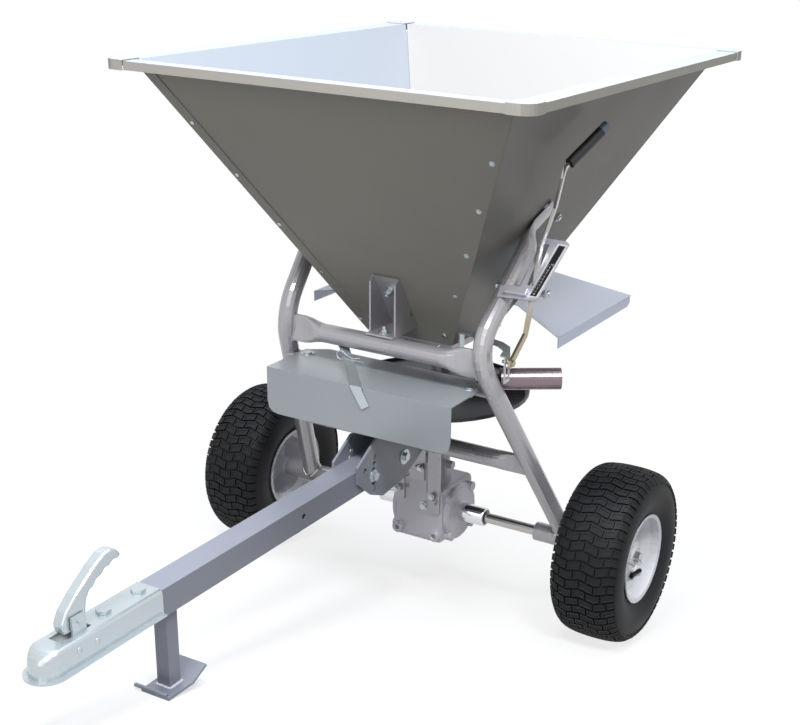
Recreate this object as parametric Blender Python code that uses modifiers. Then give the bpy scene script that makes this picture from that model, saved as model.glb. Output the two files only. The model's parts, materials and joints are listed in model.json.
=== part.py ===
"""Towed broadcast spreader with a 200 litre hopper, a ground-driven gearbox and a spinner disc.

The machine is drawn in its own level frame: X to the right, Y to the rear, Z up, the wheel axle
along X at Y = 0. The empty "chassis" then tips that frame forward, because the parked machine
stands on its two tyres and on the short leg under the drawbar.
"""

import math

import bmesh
import bpy
from mathutils import Matrix, Vector

GAP = 0.0003

# Wheels and axle
TYRE_RADIUS = 0.2032
TYRE_WIDTH = 0.163
TYRE_BEAD_RADIUS = 0.104
BEAD_SEAT_OUTER = 0.0652
BEAD_SEAT_INNER = 0.0520
TREAD_COURSES = 58
TREAD_DEPTH = 0.0049
TREAD_GROOVE_SHARE = 0.16
TREAD_SWING = 0.0045
TREAD_WAVE = 0.067
TRACK = 0.974
RIM_WALL = 0.003
AXLE_RADIUS = 0.0125
HUB_RADIUS = 0.020
HUB_LENGTH = 0.100
HOUSING_RADIUS = 0.0225
HUB_CLEARANCE = 0.002
HOUSING_LENGTH = 0.152
HOUSING_OUTER_END = TRACK / 2 - HUB_LENGTH / 2 - HUB_CLEARANCE
HOUSING_INNER_END = HOUSING_OUTER_END - HOUSING_LENGTH
FOOT_FROM_HOUSING_END = 0.072
BUSH_RADIUS = 0.0165
SLEEVE_RADIUS = 0.0185
SLEEVE_LENGTH = 0.060

# Frame tubes
TUBE_RADIUS = 0.0212
BEND_RADIUS = 0.100
POST_BEND = Vector((0.246, -0.262, 0.713))
POST_FOOT_X = HOUSING_OUTER_END - FOOT_FROM_HOUSING_END
POST_TOP_Y = -0.024
POST_TOP_Z = 0.967
FRONT_TUBE_Y = -0.237
FRONT_TUBE_Z = 0.680
LOWER_TUBE_Z = 0.415
FLAT_END_HEIGHT = 0.064
LOWER_END_HEIGHT = 0.045
FLAT_END_THICKNESS = 0.014
STUB_LENGTH = 0.133
STUB_RADIUS = 0.0240
STUB_WALL = 0.003
STUB_Z = 0.627

# Hopper
RIM_WIDTH = 0.974
RIM_DEPTH = 1.120
RIM_TOP = 1.2795
RIM_SKIRT = 0.018
RIM_CENTRE_Y = 0.035
LIP_X = 0.048
LIP_Y = 0.035
OUTLET_WIDTH = 0.223
OUTLET_DEPTH = 0.236
OUTLET_CENTRE_Y = -0.005
HOPPER_BOTTOM = 0.667
SHEET = 0.002
SEAM = 0.028
CAP_LEG = 0.052
CAP_CORNER = 0.030

# Hopper floor and shutter
FLOOR_SHEET = 0.003
SKIRT_WALL = 0.003
EDGE_DIP = 0.0009
SKIRT_HEIGHT = 0.0147
GATE_HALF_WIDTH = 0.055
GATE_FRONT = 0.030
GATE_REAR = 0.102
SHUTTER_HALF_WIDTH = 0.0745
SHUTTER_FRONT = -0.160
SHUTTER_REAR = 0.112
GUIDE_LIP = 0.008

# Spinner and its drive
DISC_RADIUS = 0.224
DISC_Z = 0.508
DISC_SHEET = 0.003
SPINDLE_RADIUS = 0.0125
SPINDLE_TOP = 0.735
SPINDLE_FOOT = 0.262

# Gearbox casting
CASE_HALF_X = 0.066
CASE_HALF_Y = 0.077
CASE_BELOW = 0.064
CASE_ABOVE = 0.072
COVER_RADIUS = 0.070
COVER_THICKNESS = 0.013
TURRET_RADIUS = 0.043
TURRET_TOP = 0.348

# Drawbar, its plates and the parking leg
BAR_SIZE = 0.056
BAR_WALL = 0.004
BAR_FRONT = -1.150
BAR_REAR = -0.150
BAR_Z = 0.407
PLATE_SHEET = 0.006
LOCK_BOLT_RADIUS = 0.006
LOCK_RADIUS = 0.130
PIVOT_Y = -0.195
LEG_Y = -0.970
LEG_SIZE = 0.030
FOOT_Z = 0.212
FOOT_WIDTH = 0.066
FOOT_LENGTH = 0.088
FOOT_SHEET = 0.005

# Ball coupler
COUPLER_REAR = -1.008
BALL_Y = -1.256
BALL_RADIUS = 0.025
BALL_Z = 0.408
COUPLER_SHEET = 0.004
FLANGE_HALF = 0.0412
FLANGE_Z = 0.396
HANDLE_PIVOT = Vector((0.0, -1.196, 0.462))
COUPLER_BOLTS = (-1.035, -1.122)
COUPLER_BOLT_RADIUS = 0.006

# Front guard and rear guard
GUARD_WIDTH = 0.474
GUARD_FOLD_Y = -0.342
GUARD_TOP = 0.615
GUARD_DROP = 0.108
GUARD_SHEET = 0.002
REAR_GUARD_HALF = 0.327
REAR_GUARD_Z = 0.700
REAR_GUARD_FLANGE = 0.025

# Shutter lever and its gate
LEVER_PIVOT_Y = -0.145
LEVER_PIVOT_Z = 0.832
LEVER_FROM_POST = 0.0619
GRIP_FROM_PANEL = 0.0465
SIDE_SLOPE = (RIM_WIDTH / 2 - LIP_X - OUTLET_WIDTH / 2) / (RIM_TOP - HOPPER_BOTTOM)
PIVOT_SHARE = (LEVER_PIVOT_Z - POST_BEND.z) / (POST_TOP_Z - POST_BEND.z)
POST_TOP_X = OUTLET_WIDTH / 2 + SIDE_SLOPE * (POST_TOP_Z - HOPPER_BOTTOM)
POST_AT_PIVOT_X = POST_BEND.x + (POST_TOP_X - POST_BEND.x) * PIVOT_SHARE
LEVER_X = POST_AT_PIVOT_X + LEVER_FROM_POST
LEVER_WIDTH = 0.015
LEVER_SHEET = 0.006
LEVER_BOLT_RADIUS = 0.005
GRIP_LOW_Z = 1.116
GRIP_HIGH_Z = 1.183
GRIP_BASE_X = OUTLET_WIDTH / 2 + GRIP_FROM_PANEL
GRIP_START = Vector((GRIP_BASE_X + SIDE_SLOPE * (GRIP_LOW_Z - HOPPER_BOTTOM), -0.167, GRIP_LOW_Z))
GRIP_END = Vector((GRIP_BASE_X + SIDE_SLOPE * (GRIP_HIGH_Z - HOPPER_BOTTOM), -0.075, GRIP_HIGH_Z))
PIN_Y = -0.240
PIN_Z = 0.700
PIN_RADIUS = 0.004
GATE_SHEET = 0.003

SIDE_NAMES = {1: "right", -1: "left"}

for leftover in list(bpy.data.objects):
    bpy.data.objects.remove(leftover)


def new_collection(name):
    group = bpy.data.collections.new(name)
    bpy.context.scene.collection.children.link(group)
    return group


PARTS = new_collection("broadcast_spreader")
CUTTERS = new_collection("cutters")


def new_material(name, colour, roughness, metallic):
    material = bpy.data.materials.new(name)
    material.use_nodes = True
    shader = material.node_tree.nodes["Principled BSDF"]
    shader.inputs["Base Color"].default_value = (*colour, 1.0)
    shader.inputs["Roughness"].default_value = roughness
    shader.inputs["Metallic"].default_value = metallic
    return material


FINISHES = {
    "frame_paint": new_material("frame_paint", (0.47, 0.46, 0.45), 0.35, 0.7),
    "hopper_paint": new_material("hopper_paint", (0.30, 0.29, 0.27), 0.40, 0.6),
    "guard_paint": new_material("guard_paint", (0.36, 0.38, 0.40), 0.38, 0.6),
    "cast_paint": new_material("cast_paint", (0.50, 0.48, 0.52), 0.45, 0.3),
    "zinc": new_material("zinc", (0.72, 0.74, 0.78), 0.22, 1.0),
    "steel": new_material("steel", (0.55, 0.54, 0.53), 0.28, 1.0),
    "rubber": new_material("rubber", (0.018, 0.019, 0.022), 0.75, 0.0),
    "disc_black": new_material("disc_black", (0.03, 0.03, 0.035), 0.45, 0.3),
    "rim_white": new_material("rim_white", (0.82, 0.82, 0.88), 0.30, 0.0),
    "black_grip": new_material("black_grip", (0.02, 0.02, 0.02), 0.60, 0.0),
}


def pitch_angle():
    """Forward tip that brings the front edge of the foot down to the ground line of the tyres."""
    reach = math.hypot(LEG_Y - FOOT_LENGTH / 2, FOOT_Z - TYRE_RADIUS)
    return math.asin(TYRE_RADIUS / reach) - math.asin((TYRE_RADIUS - FOOT_Z) / reach)


PITCH = pitch_angle()


def new_empty(name, parent=None, location=(0, 0, 0)):
    empty = bpy.data.objects.new(name, None)
    empty.empty_display_size = 0.05
    PARTS.objects.link(empty)
    empty.parent = parent
    empty.location = location
    return empty


def tipped(point):
    """Where a point of the level frame stands once the machine is tipped about its axle."""
    centre = Vector((0, 0, TYRE_RADIUS))
    return Matrix.Rotation(PITCH, 3, "X") @ (Vector(point) - centre) + centre


# The model's origin lies under the middle of its outline: nose of the coupler to rear of the rim.
NOSE_Y = BALL_Y - FLANGE_HALF
NOSE = tipped((0, NOSE_Y, FLANGE_Z))
TAIL = tipped((0, RIM_CENTRE_Y + RIM_DEPTH / 2, RIM_TOP - RIM_SKIRT))
MIDDLE_Y = (NOSE.y + TAIL.y) / 2

chassis = new_empty("chassis")
chassis.rotation_euler = (PITCH, 0, 0)
chassis.location = tipped((0, 0, 0)) - Vector((0, MIDDLE_Y, 0))

AXLE = Vector((0, 0, TYRE_RADIUS))
PIVOTS = {
    "frame": Vector((0, 0, 0)),
    "drive_axle": AXLE.copy(),
    "left_wheel": Vector((-TRACK / 2, 0, TYRE_RADIUS)),
    "spinner": Vector((0, 0, DISC_Z)),
    "lever": Vector((LEVER_X, LEVER_PIVOT_Y, LEVER_PIVOT_Z)),
    "shutter": Vector((0, 0, HOPPER_BOTTOM)),
    "coupler_handle": HANDLE_PIVOT.copy(),
    "ball_clamp": Vector((0, -1.214, 0.404)),
    "gate_stop": Vector((0, 0, 0)),
}
EMPTIES = {name: new_empty(name + "_pivot", chassis, at) for name, at in PIVOTS.items()}


def add(name, data, body, finish, place=None):
    """A finished piece: its data, placed in the level frame and hung on its body's empty."""
    obj = bpy.data.objects.new(name, data)
    PARTS.objects.link(obj)
    obj.parent = EMPTIES[body]
    obj.matrix_basis = Matrix.Translation(-PIVOTS[body]) @ (place or Matrix())
    data.materials.append(FINISHES[finish])
    return obj


def helper(obj):
    """Turns a piece into a cutter or a shape to be joined, which the render leaves out."""
    PARTS.objects.unlink(obj)
    CUTTERS.objects.link(obj)
    obj.hide_render = True
    obj.display_type = "WIRE"
    return obj


def combine(target, operation, others):
    for other in others:
        modifier = target.modifiers.new(operation.lower(), "BOOLEAN")
        modifier.operation = operation
        modifier.object = helper(other)
    return target


def cut(target, *others):
    return combine(target, "DIFFERENCE", others)


def join(target, *others):
    return combine(target, "UNION", others)


def round_edges(obj, width, segments=2, angle=40):
    bevel = obj.modifiers.new("round_edges", "BEVEL")
    bevel.width = width
    bevel.segments = segments
    bevel.limit_method = "ANGLE"
    bevel.angle_limit = math.radians(angle)
    return obj


def finish_mesh(bm, name, smooth=True):
    data = bpy.data.meshes.new(name)
    bmesh.ops.recalc_face_normals(bm, faces=bm.faces)
    bm.to_mesh(data)
    bm.free()
    if smooth:
        data.shade_smooth()
        data.set_sharp_from_angle(angle=math.radians(35))
    return data


def block(name, low, high, body="frame", finish="frame_paint"):
    """A box between two corners of the level frame."""
    low, high = Vector(low), Vector(high)
    bm = bmesh.new()
    bmesh.ops.create_cube(bm, size=1.0)
    bmesh.ops.scale(bm, vec=high - low, verts=bm.verts)
    return add(name, finish_mesh(bm, name, False), body, finish, Matrix.Translation((low + high) / 2))


def along(start, end):
    """A placement whose Z axis runs from start to end, centred between them."""
    start, end = Vector(start), Vector(end)
    turn = (end - start).to_track_quat("Z", "Y").to_matrix().to_4x4()
    return Matrix.Translation((start + end) / 2) @ turn, (end - start).length


def rod(name, start, end, radius, body="frame", finish="steel", sides=None, end_radius=None):
    """A round bar or a cone between two points."""
    place, length = along(start, end)
    sides = sides or (12 if radius < 0.008 else 16 if radius < 0.018 else 24)
    bm = bmesh.new()
    bmesh.ops.create_cone(
        bm,
        cap_ends=True,
        segments=sides,
        radius1=radius,
        radius2=radius if end_radius is None else end_radius,
        depth=length,
    )
    return add(name, finish_mesh(bm, name), body, finish, place)


def turned(name, profile, place, body, finish, steps=32):
    """A closed (radius, height) profile spun about the placement's Z axis."""
    data = bpy.data.meshes.new(name)
    count = len(profile)
    data.from_pydata(
        [(radius, 0, height) for radius, height in profile],
        [(i, (i + 1) % count) for i in range(count)],
        [],
    )
    obj = add(name, data, body, finish, place)
    screw = obj.modifiers.new("spin", "SCREW")
    screw.steps = screw.render_steps = steps
    screw.use_merge_vertices = True
    screw.merge_threshold = 0.00001
    screw.use_smooth_shade = True
    return obj


def ring(name, outer, inner, low, high, place, body, finish, steps=24):
    profile = [(outer, high), (outer, low), (inner, low), (inner, high)]
    return turned(name, profile, place, body, finish, steps)


def rounded(corners, radius, steps=3):
    """The outline through these corners with each one rounded."""
    points = []
    count = len(corners)
    for i, corner in enumerate(corners):
        here = Vector(corner)
        before = (Vector(corners[i - 1]) - here).normalized()
        after = (Vector(corners[(i + 1) % count]) - here).normalized()
        half = before.angle(after) / 2
        reach = radius / math.tan(half)
        centre = here + (before + after).normalized() * (radius / math.sin(half))
        first = here + before * reach - centre
        last = here + after * reach - centre
        for step in range(steps + 1):
            blend = first.lerp(last, step / steps).normalized() * radius
            points.append(centre + blend)
    return points


def circle(x, y, radius, steps=12):
    turns = [2 * math.pi * i / steps for i in range(steps)]
    return [Vector((x + radius * math.cos(a), y + radius * math.sin(a))) for a in turns]


def sheet_part(name, outline, thickness, place, body, finish, holes=()):
    """A flat plate: a filled 2D curve with holes, its thickness centred on the placement's plane."""
    data = bpy.data.curves.new(name, "CURVE")
    data.dimensions = "2D"
    data.fill_mode = "BOTH"
    data.extrude = thickness / 2
    for loop in (outline, *holes):
        spline = data.splines.new("POLY")
        spline.points.add(len(loop) - 1)
        for point, corner in zip(spline.points, loop):
            point.co = (corner[0], corner[1], 0, 1)
        spline.use_cyclic_u = True
    return add(name, data, body, finish, place)


def solid_plate(name, outline, thickness, place, body, finish):
    """The same plate as a mesh, for pieces that are cut or joined."""
    bm = bmesh.new()
    low = [bm.verts.new((x, y, -thickness / 2)) for x, y in outline]
    face = bm.faces.new(low)
    made = bmesh.ops.extrude_face_region(bm, geom=[face])
    top = [item for item in made["geom"] if isinstance(item, bmesh.types.BMVert)]
    bmesh.ops.translate(bm, vec=(0, 0, thickness), verts=top)
    return add(name, finish_mesh(bm, name, False), body, finish, place)


def plane_matrix(origin, x_axis, y_axis):
    x_axis = Vector(x_axis).normalized()
    y_axis = Vector(y_axis).normalized()
    z_axis = x_axis.cross(y_axis).normalized()
    turn = Matrix((x_axis, y_axis, z_axis)).transposed().to_4x4()
    return Matrix.Translation(Vector(origin)) @ turn


def side_plane(x):
    """Plate lying in a plane of constant X: its own x runs to the rear and its own y runs up."""
    return plane_matrix((x, 0, 0), (0, 1, 0), (0, 0, 1))


def floor_plane(z):
    return Matrix.Translation((0, 0, z))


def loft(name, sections, body, finish, closed=True, smooth=True):
    """Skins a run of rings that have the same number of points, and caps both ends."""
    bm = bmesh.new()
    rings = [[bm.verts.new(point) for point in section] for section in sections]
    count = len(rings[0])
    for first, second in zip(rings, rings[1:]):
        for i in range(count if closed else count - 1):
            j = (i + 1) % count
            bm.faces.new((first[i], first[j], second[j], second[i]))
    if closed:
        bm.faces.new(rings[0])
        bm.faces.new(rings[-1])
    return add(name, finish_mesh(bm, name, smooth), body, finish)


def oval(centre, wide_axis, thin_axis, wide, thin, sides=16, fullness=2.0):
    """A ring of points on a superellipse, from a round tube to a flattened one."""
    points = []
    for i in range(sides):
        angle = 2 * math.pi * i / sides
        c, s = math.cos(angle), math.sin(angle)
        across = math.copysign(abs(c) ** (2 / fullness), c) * wide
        through = math.copysign(abs(s) ** (2 / fullness), s) * thin
        points.append(Vector(centre) + wide_axis * across + thin_axis * through)
    return points


def wire(name, points, radius, body, finish, resolution=2, cyclic=False):
    """A round wire along these points."""
    data = bpy.data.curves.new(name, "CURVE")
    data.dimensions = "3D"
    data.bevel_depth = radius
    data.bevel_resolution = resolution
    data.use_fill_caps = True
    spline = data.splines.new("POLY")
    spline.points.add(len(points) - 1)
    for point, at in zip(spline.points, points):
        point.co = (*at, 1)
    spline.use_cyclic_u = cyclic
    return add(name, data, body, finish)


# The hopper's four panels lean outwards. A panel's outer face passes through its outlet edge at
# HOPPER_BOTTOM and through the inner edge of the rim's lip at RIM_TOP.
PANEL_X = {"low": OUTLET_WIDTH / 2, "high": RIM_WIDTH / 2 - LIP_X}
FRONT = {
    "low": OUTLET_DEPTH / 2 - OUTLET_CENTRE_Y,
    "high": RIM_DEPTH / 2 - RIM_CENTRE_Y - LIP_Y,
}
REAR = {
    "low": OUTLET_DEPTH / 2 + OUTLET_CENTRE_Y,
    "high": RIM_DEPTH / 2 + RIM_CENTRE_Y - LIP_Y,
}
HOPPER_HEIGHT = RIM_TOP - HOPPER_BOTTOM


def reach_at(panel, z, offset=0.0):
    """Distance of a panel's outer face from the centre line at height z, moved out by offset."""
    slope = (panel["high"] - panel["low"]) / HOPPER_HEIGHT
    return panel["low"] + slope * (z - HOPPER_BOTTOM) + offset * math.hypot(1, slope)


def panel_corner(z, side, end, out_x, out_y):
    """Corner of the hopper at height z: side is +1 right, end is +1 rear."""
    depth = REAR if end > 0 else FRONT
    return Vector((side * reach_at(PANEL_X, z, out_x), end * reach_at(depth, z, out_y), z))


def thicken(obj, thickness, offset=0.0):
    solidify = obj.modifiers.new("sheet", "SOLIDIFY")
    solidify.thickness = thickness
    solidify.offset = offset
    solidify.use_even_offset = True
    return obj


def level_rim(obj):
    """Gives the sheet its thickness for good and makes the rim's two faces exactly level."""
    shape = obj.evaluated_get(bpy.context.evaluated_depsgraph_get())
    obj.data = bpy.data.meshes.new_from_object(shape)
    obj.modifiers.clear()
    for vertex in obj.data.vertices:
        for height in (RIM_TOP, RIM_TOP - SHEET):
            if abs(vertex.co.z - height) < SHEET / 8:
                vertex.co.z = height
    return obj


def surface(name, rows, body, finish):
    """An open surface from rows of points, to be thickened."""
    bm = bmesh.new()
    verts = [[bm.verts.new(point) for point in row] for row in rows]
    for low, high in zip(verts, verts[1:]):
        for i in range(len(low) - 1):
            bm.faces.new((low[i], low[i + 1], high[i + 1], high[i]))
    return add(name, finish_mesh(bm, name), body, finish)


def build_end_panel(end):
    """Front or rear sheet with its rolled rim; it runs past the right panel and butts the left."""
    mid = -SHEET / 2
    left_stop = -(SHEET * 1.5 + GAP)
    right_stop = 0.0
    rows = []
    for z in (HOPPER_BOTTOM, RIM_TOP - SHEET / 2):
        left = panel_corner(z, -1, end, left_stop, mid)
        right = panel_corner(z, 1, end, right_stop, mid)
        rows.append([left, right])
    lip_y = end * (RIM_DEPTH / 2 - SHEET / 2) + RIM_CENTRE_Y
    for z in (RIM_TOP - SHEET / 2, RIM_TOP - RIM_SKIRT):
        rows.append([Vector((point.x, lip_y, z)) for point in rows[1]])
    name = "hopper_front" if end < 0 else "hopper_rear"
    return level_rim(thicken(surface(name, rows, "frame", "hopper_paint"), SHEET))


def build_side_panel(side):
    """Side sheet with a seam flange on the front and rear sheets: outside on the left, inside right."""
    mid = -SHEET / 2
    seam_out = SHEET / 2 + GAP if side < 0 else -(SHEET * 1.5 + GAP)
    rows = []
    for z in (HOPPER_BOTTOM, RIM_TOP - RIM_SKIRT - GAP):
        corner_front = panel_corner(z, side, -1, mid, seam_out)
        corner_rear = panel_corner(z, side, 1, mid, seam_out)
        inward = Vector((-side * SEAM, 0, 0))
        rows.append([corner_front + inward, corner_front, corner_rear, corner_rear + inward])
    body = surface("hopper_" + SIDE_NAMES[side], rows, "frame", "hopper_paint")
    thicken(body, SHEET)
    return body


def build_side_rim(side):
    """Rolled rim along the side: lip, outer skirt and the tongue that backs the panel's top edge."""
    end_stop = 0.005
    top = RIM_TOP - SHEET / 2
    outer = RIM_WIDTH / 2 - SHEET / 2
    tongue_z = RIM_TOP - RIM_SKIRT
    rows = []
    for x, z, panel_z in (
        (reach_at(PANEL_X, tongue_z, -SHEET / 2), tongue_z, tongue_z),
        (reach_at(PANEL_X, top, -SHEET / 2), top, top),
        (outer, top, top),
        (outer, RIM_TOP - RIM_SKIRT, top),
    ):
        front_y = -reach_at(FRONT, panel_z) + end_stop
        rear_y = reach_at(REAR, panel_z) - end_stop
        rows.append([Vector((side * x, front_y, z)), Vector((side * x, rear_y, z))])
    rim = surface("hopper_rim_" + SIDE_NAMES[side], rows, "frame", "hopper_paint")
    return thicken(rim, SHEET)


def build_cap(side, end):
    """Pressed corner cap that sleeves over the ends of two rims."""
    proud = GAP + SHEET / 2
    x = side * (RIM_WIDTH / 2 + proud)
    y = RIM_CENTRE_Y + end * (RIM_DEPTH / 2 + proud)
    inner_x = x - side * CAP_LEG
    inner_y = y - end * CAP_LEG
    corner = []
    steps = 6
    for step in range(steps + 1):
        angle = math.pi / 2 * step / steps
        corner.append(
            (
                x - side * CAP_CORNER * (1 - math.sin(angle)),
                y - end * CAP_CORNER * (1 - math.cos(angle)),
            )
        )
    outline = [(inner_x, y), *corner, (x, inner_y)]
    top = RIM_TOP + proud
    low = RIM_TOP - RIM_SKIRT - 0.001
    bm = bmesh.new()
    rim_low = [bm.verts.new((px, py, low)) for px, py in outline]
    rim_top = [bm.verts.new((px, py, top)) for px, py in outline]
    heart = bm.verts.new((inner_x, inner_y, top))
    for i in range(len(outline) - 1):
        bm.faces.new((rim_low[i], rim_low[i + 1], rim_top[i + 1], rim_top[i]))
        bm.faces.new((rim_top[i], rim_top[i + 1], heart))
    where = ("rear_" if end > 0 else "front_") + SIDE_NAMES[side]
    cap = add("rim_cap_" + where, finish_mesh(bm, "rim_cap_" + where), "frame", "hopper_paint")
    return thicken(cap, SHEET)


def build_hopper():
    for end in (-1, 1):
        build_end_panel(end)
    for side in (-1, 1):
        join(build_side_panel(side), build_side_rim(side))
        for end in (-1, 1):
            build_cap(side, end)


FLOOR_TOP = HOPPER_BOTTOM - EDGE_DIP - SKIRT_HEIGHT + FLOOR_SHEET
FLOOR_LOW = FLOOR_TOP - FLOOR_SHEET
SHUTTER_TOP = FLOOR_LOW - GAP
SHUTTER_LOW = SHUTTER_TOP - FLOOR_SHEET


def build_floor():
    """Skirted floor under the hopper, with the outlet, the spindle hole and the shutter's guides."""
    half_x = OUTLET_WIDTH / 2 - 0.001
    front = -OUTLET_DEPTH / 2 + OUTLET_CENTRE_Y + 0.001
    rear = OUTLET_DEPTH / 2 + OUTLET_CENTRE_Y - 0.001
    top = HOPPER_BOTTOM - EDGE_DIP
    floor = block("hopper_floor", (-half_x, front, FLOOR_LOW), (half_x, rear, top))
    hollow = block(
        "floor_hollow",
        (-half_x + SKIRT_WALL, front + SKIRT_WALL, FLOOR_TOP),
        (half_x - SKIRT_WALL, rear - SKIRT_WALL, top + 0.01),
    )
    outlet = block(
        "outlet",
        (-GATE_HALF_WIDTH, GATE_FRONT, FLOOR_LOW - 0.01),
        (GATE_HALF_WIDTH, GATE_REAR, FLOOR_TOP + 0.01),
    )
    spindle_hole = rod(
        "spindle_hole", (0, 0, FLOOR_LOW - 0.01), (0, 0, FLOOR_TOP + 0.01), SPINDLE_RADIUS + GAP
    )
    cut(floor, hollow, outlet, spindle_hole)
    inner = SHUTTER_HALF_WIDTH + GAP
    lip_top = SHUTTER_LOW - GAP
    for side in (-1, 1):
        web = block(
            f"guide_web_{side}",
            (side * inner, front, lip_top - FLOOR_SHEET),
            (side * (inner + FLOOR_SHEET), rear, FLOOR_LOW + 0.001),
        )
        lip = block(
            f"guide_lip_{side}",
            (side * (inner - GUIDE_LIP), front, lip_top - FLOOR_SHEET),
            (side * (inner + FLOOR_SHEET / 2), rear, lip_top),
        )
        join(floor, web, lip)


def build_shutter():
    """Sliding shutter: a window frame under the floor, a cranked arm and the lug that the pin moves."""
    middle = (SHUTTER_TOP + SHUTTER_LOW) / 2
    bar = 0.020
    window_half = GATE_HALF_WIDTH + 0.001
    shutter = block(
        "shutter_slide",
        (-SHUTTER_HALF_WIDTH, SHUTTER_FRONT, SHUTTER_LOW),
        (SHUTTER_HALF_WIDTH, SHUTTER_REAR, SHUTTER_TOP),
        "shutter",
        "zinc",
    )
    window = block(
        "shutter_window",
        (-window_half, SHUTTER_FRONT + bar, middle - 0.01),
        (window_half, GATE_FRONT - 0.008, middle + 0.01),
        "shutter",
    )
    cut(shutter, window)
    arm_top = SHUTTER_LOW - 0.0045
    arm_low = arm_top - FLOOR_SHEET
    arm_rear = SHUTTER_FRONT + 0.022
    crank = SHUTTER_HALF_WIDTH + 0.077
    upper_low = PIN_Z + 0.012
    upper_top = upper_low + FLOOR_SHEET
    spacer = block(
        "shutter_spacer",
        (0.022, SHUTTER_FRONT, arm_low + 0.001),
        (0.064, SHUTTER_FRONT + bar, SHUTTER_LOW + 0.001),
        "shutter",
    )
    lug_outer = LEVER_X - LEVER_SHEET / 2 - 0.0045
    lug_inner = lug_outer - FLOOR_SHEET
    lug_front = PIN_Y - 0.011
    lug_rear = PIN_Y + 0.011
    lower_arm = block(
        "shutter_arm", (0.020, SHUTTER_FRONT, arm_low), (crank - 0.0005, arm_rear, arm_top), "shutter"
    )
    riser = block(
        "shutter_riser",
        (crank - FLOOR_SHEET, SHUTTER_FRONT + 0.0005, arm_low + 0.0005),
        (crank, arm_rear - 0.0005, upper_top - 0.0005),
        "shutter",
    )
    outline = [
        (crank - FLOOR_SHEET + 0.0005, SHUTTER_FRONT),
        (crank + 0.012, SHUTTER_FRONT),
        (0.262, -0.192),
        (0.288, -0.214),
        (lug_inner - 0.010, lug_front),
        (lug_outer, lug_front),
        (lug_outer, lug_rear),
        (0.290, -0.186),
        (0.262, -0.166),
        (crank + 0.020, arm_rear),
        (crank - FLOOR_SHEET + 0.0005, arm_rear),
    ]
    upper_arm = solid_plate(
        "shutter_upper_arm",
        outline,
        FLOOR_SHEET,
        floor_plane((upper_top + upper_low) / 2),
        "shutter",
        "zinc",
    )
    lever_drop = math.hypot(PIN_Y - LEVER_PIVOT_Y, PIN_Z - LEVER_PIVOT_Z)
    slot_low = LEVER_PIVOT_Z - lever_drop - PIN_RADIUS - 0.002
    lug = block(
        "shutter_lug", (lug_inner, lug_front, slot_low - 0.008), (lug_outer, lug_rear, upper_top), "shutter"
    )
    slot = block(
        "lug_slot",
        (lug_inner - 0.01, PIN_Y - 0.0075, slot_low),
        (lug_outer + 0.01, PIN_Y + 0.0075, PIN_Z + PIN_RADIUS + 0.002),
        "shutter",
    )
    join(shutter, spacer, lower_arm, riser, upper_arm, lug)
    cut(shutter, slot)


def post_path(side):
    """Centre line of one side tube: axle housing, lower leg, bend, upper leg, flattened head."""
    bend = Vector((side * POST_BEND.x, POST_BEND.y, POST_BEND.z))
    foot = Vector((side * POST_FOOT_X, 0, TYRE_RADIUS))
    top = Vector((side * reach_at(PANEL_X, POST_TOP_Z), POST_TOP_Y, POST_TOP_Z))
    return foot, bend, top


def panel_normal():
    slope = (PANEL_X["high"] - PANEL_X["low"]) / HOPPER_HEIGHT
    return Vector((1, 0, -slope)).normalized()


def post_sections(side, grow=0.0):
    """Rings along one side tube: from the axle housing up the lower leg, round the bend to its head."""
    foot, bend, top = post_path(side)
    normal = panel_normal()
    normal.x *= side
    thick = 0.004
    head = top + normal * (thick + GAP)
    down = (foot - bend).normalized()
    up = (head - bend).normalized()
    sideways = up.cross(down).normalized()
    if sideways.x * side < 0:
        sideways.negate()
    half = up.angle(down) / 2
    tangent = BEND_RADIUS / math.tan(half)
    centre = bend + (up + down).normalized() * (BEND_RADIUS / math.sin(half))
    radius = TUBE_RADIUS + grow
    stations = [(foot - down * 0.004, -down)]
    first = bend + down * tangent - centre
    last = bend + up * tangent - centre
    steps = 8
    for step in range(steps + 1):
        spoke = first.slerp(last, step / steps).normalized() * BEND_RADIUS
        direction = (-down).slerp(up, step / steps)
        stations.append((centre + spoke, direction))
    sections = []
    for point, direction in stations:
        across = direction.cross(sideways).normalized()
        sections.append(oval(point, across, sideways, radius, radius))
    along_panel = (up - normal * up.dot(normal)).normalized()
    flat_across = along_panel.cross(normal).normalized()
    round_across = up.cross(sideways).normalized()
    if flat_across.dot(round_across) < 0:
        flat_across.negate()
    squash = 0.085
    flat = 0.030
    for share in (0.0, 0.35, 0.7, 1.0):
        point = (head - up * squash).lerp(head - along_panel * flat, share)
        ease = share * share * (3 - 2 * share)
        thin_axis = sideways.lerp(normal if sideways.dot(normal) > 0 else -normal, ease)
        wide_axis = round_across.lerp(flat_across, ease)
        wide = radius + (0.029 - TUBE_RADIUS) * ease
        thin = radius + (thick - TUBE_RADIUS) * ease
        sections.append(oval(point, wide_axis.normalized(), thin_axis.normalized(), wide, thin))
    sections.append([point + along_panel * flat * 2 for point in sections[-1]])
    return sections


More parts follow.
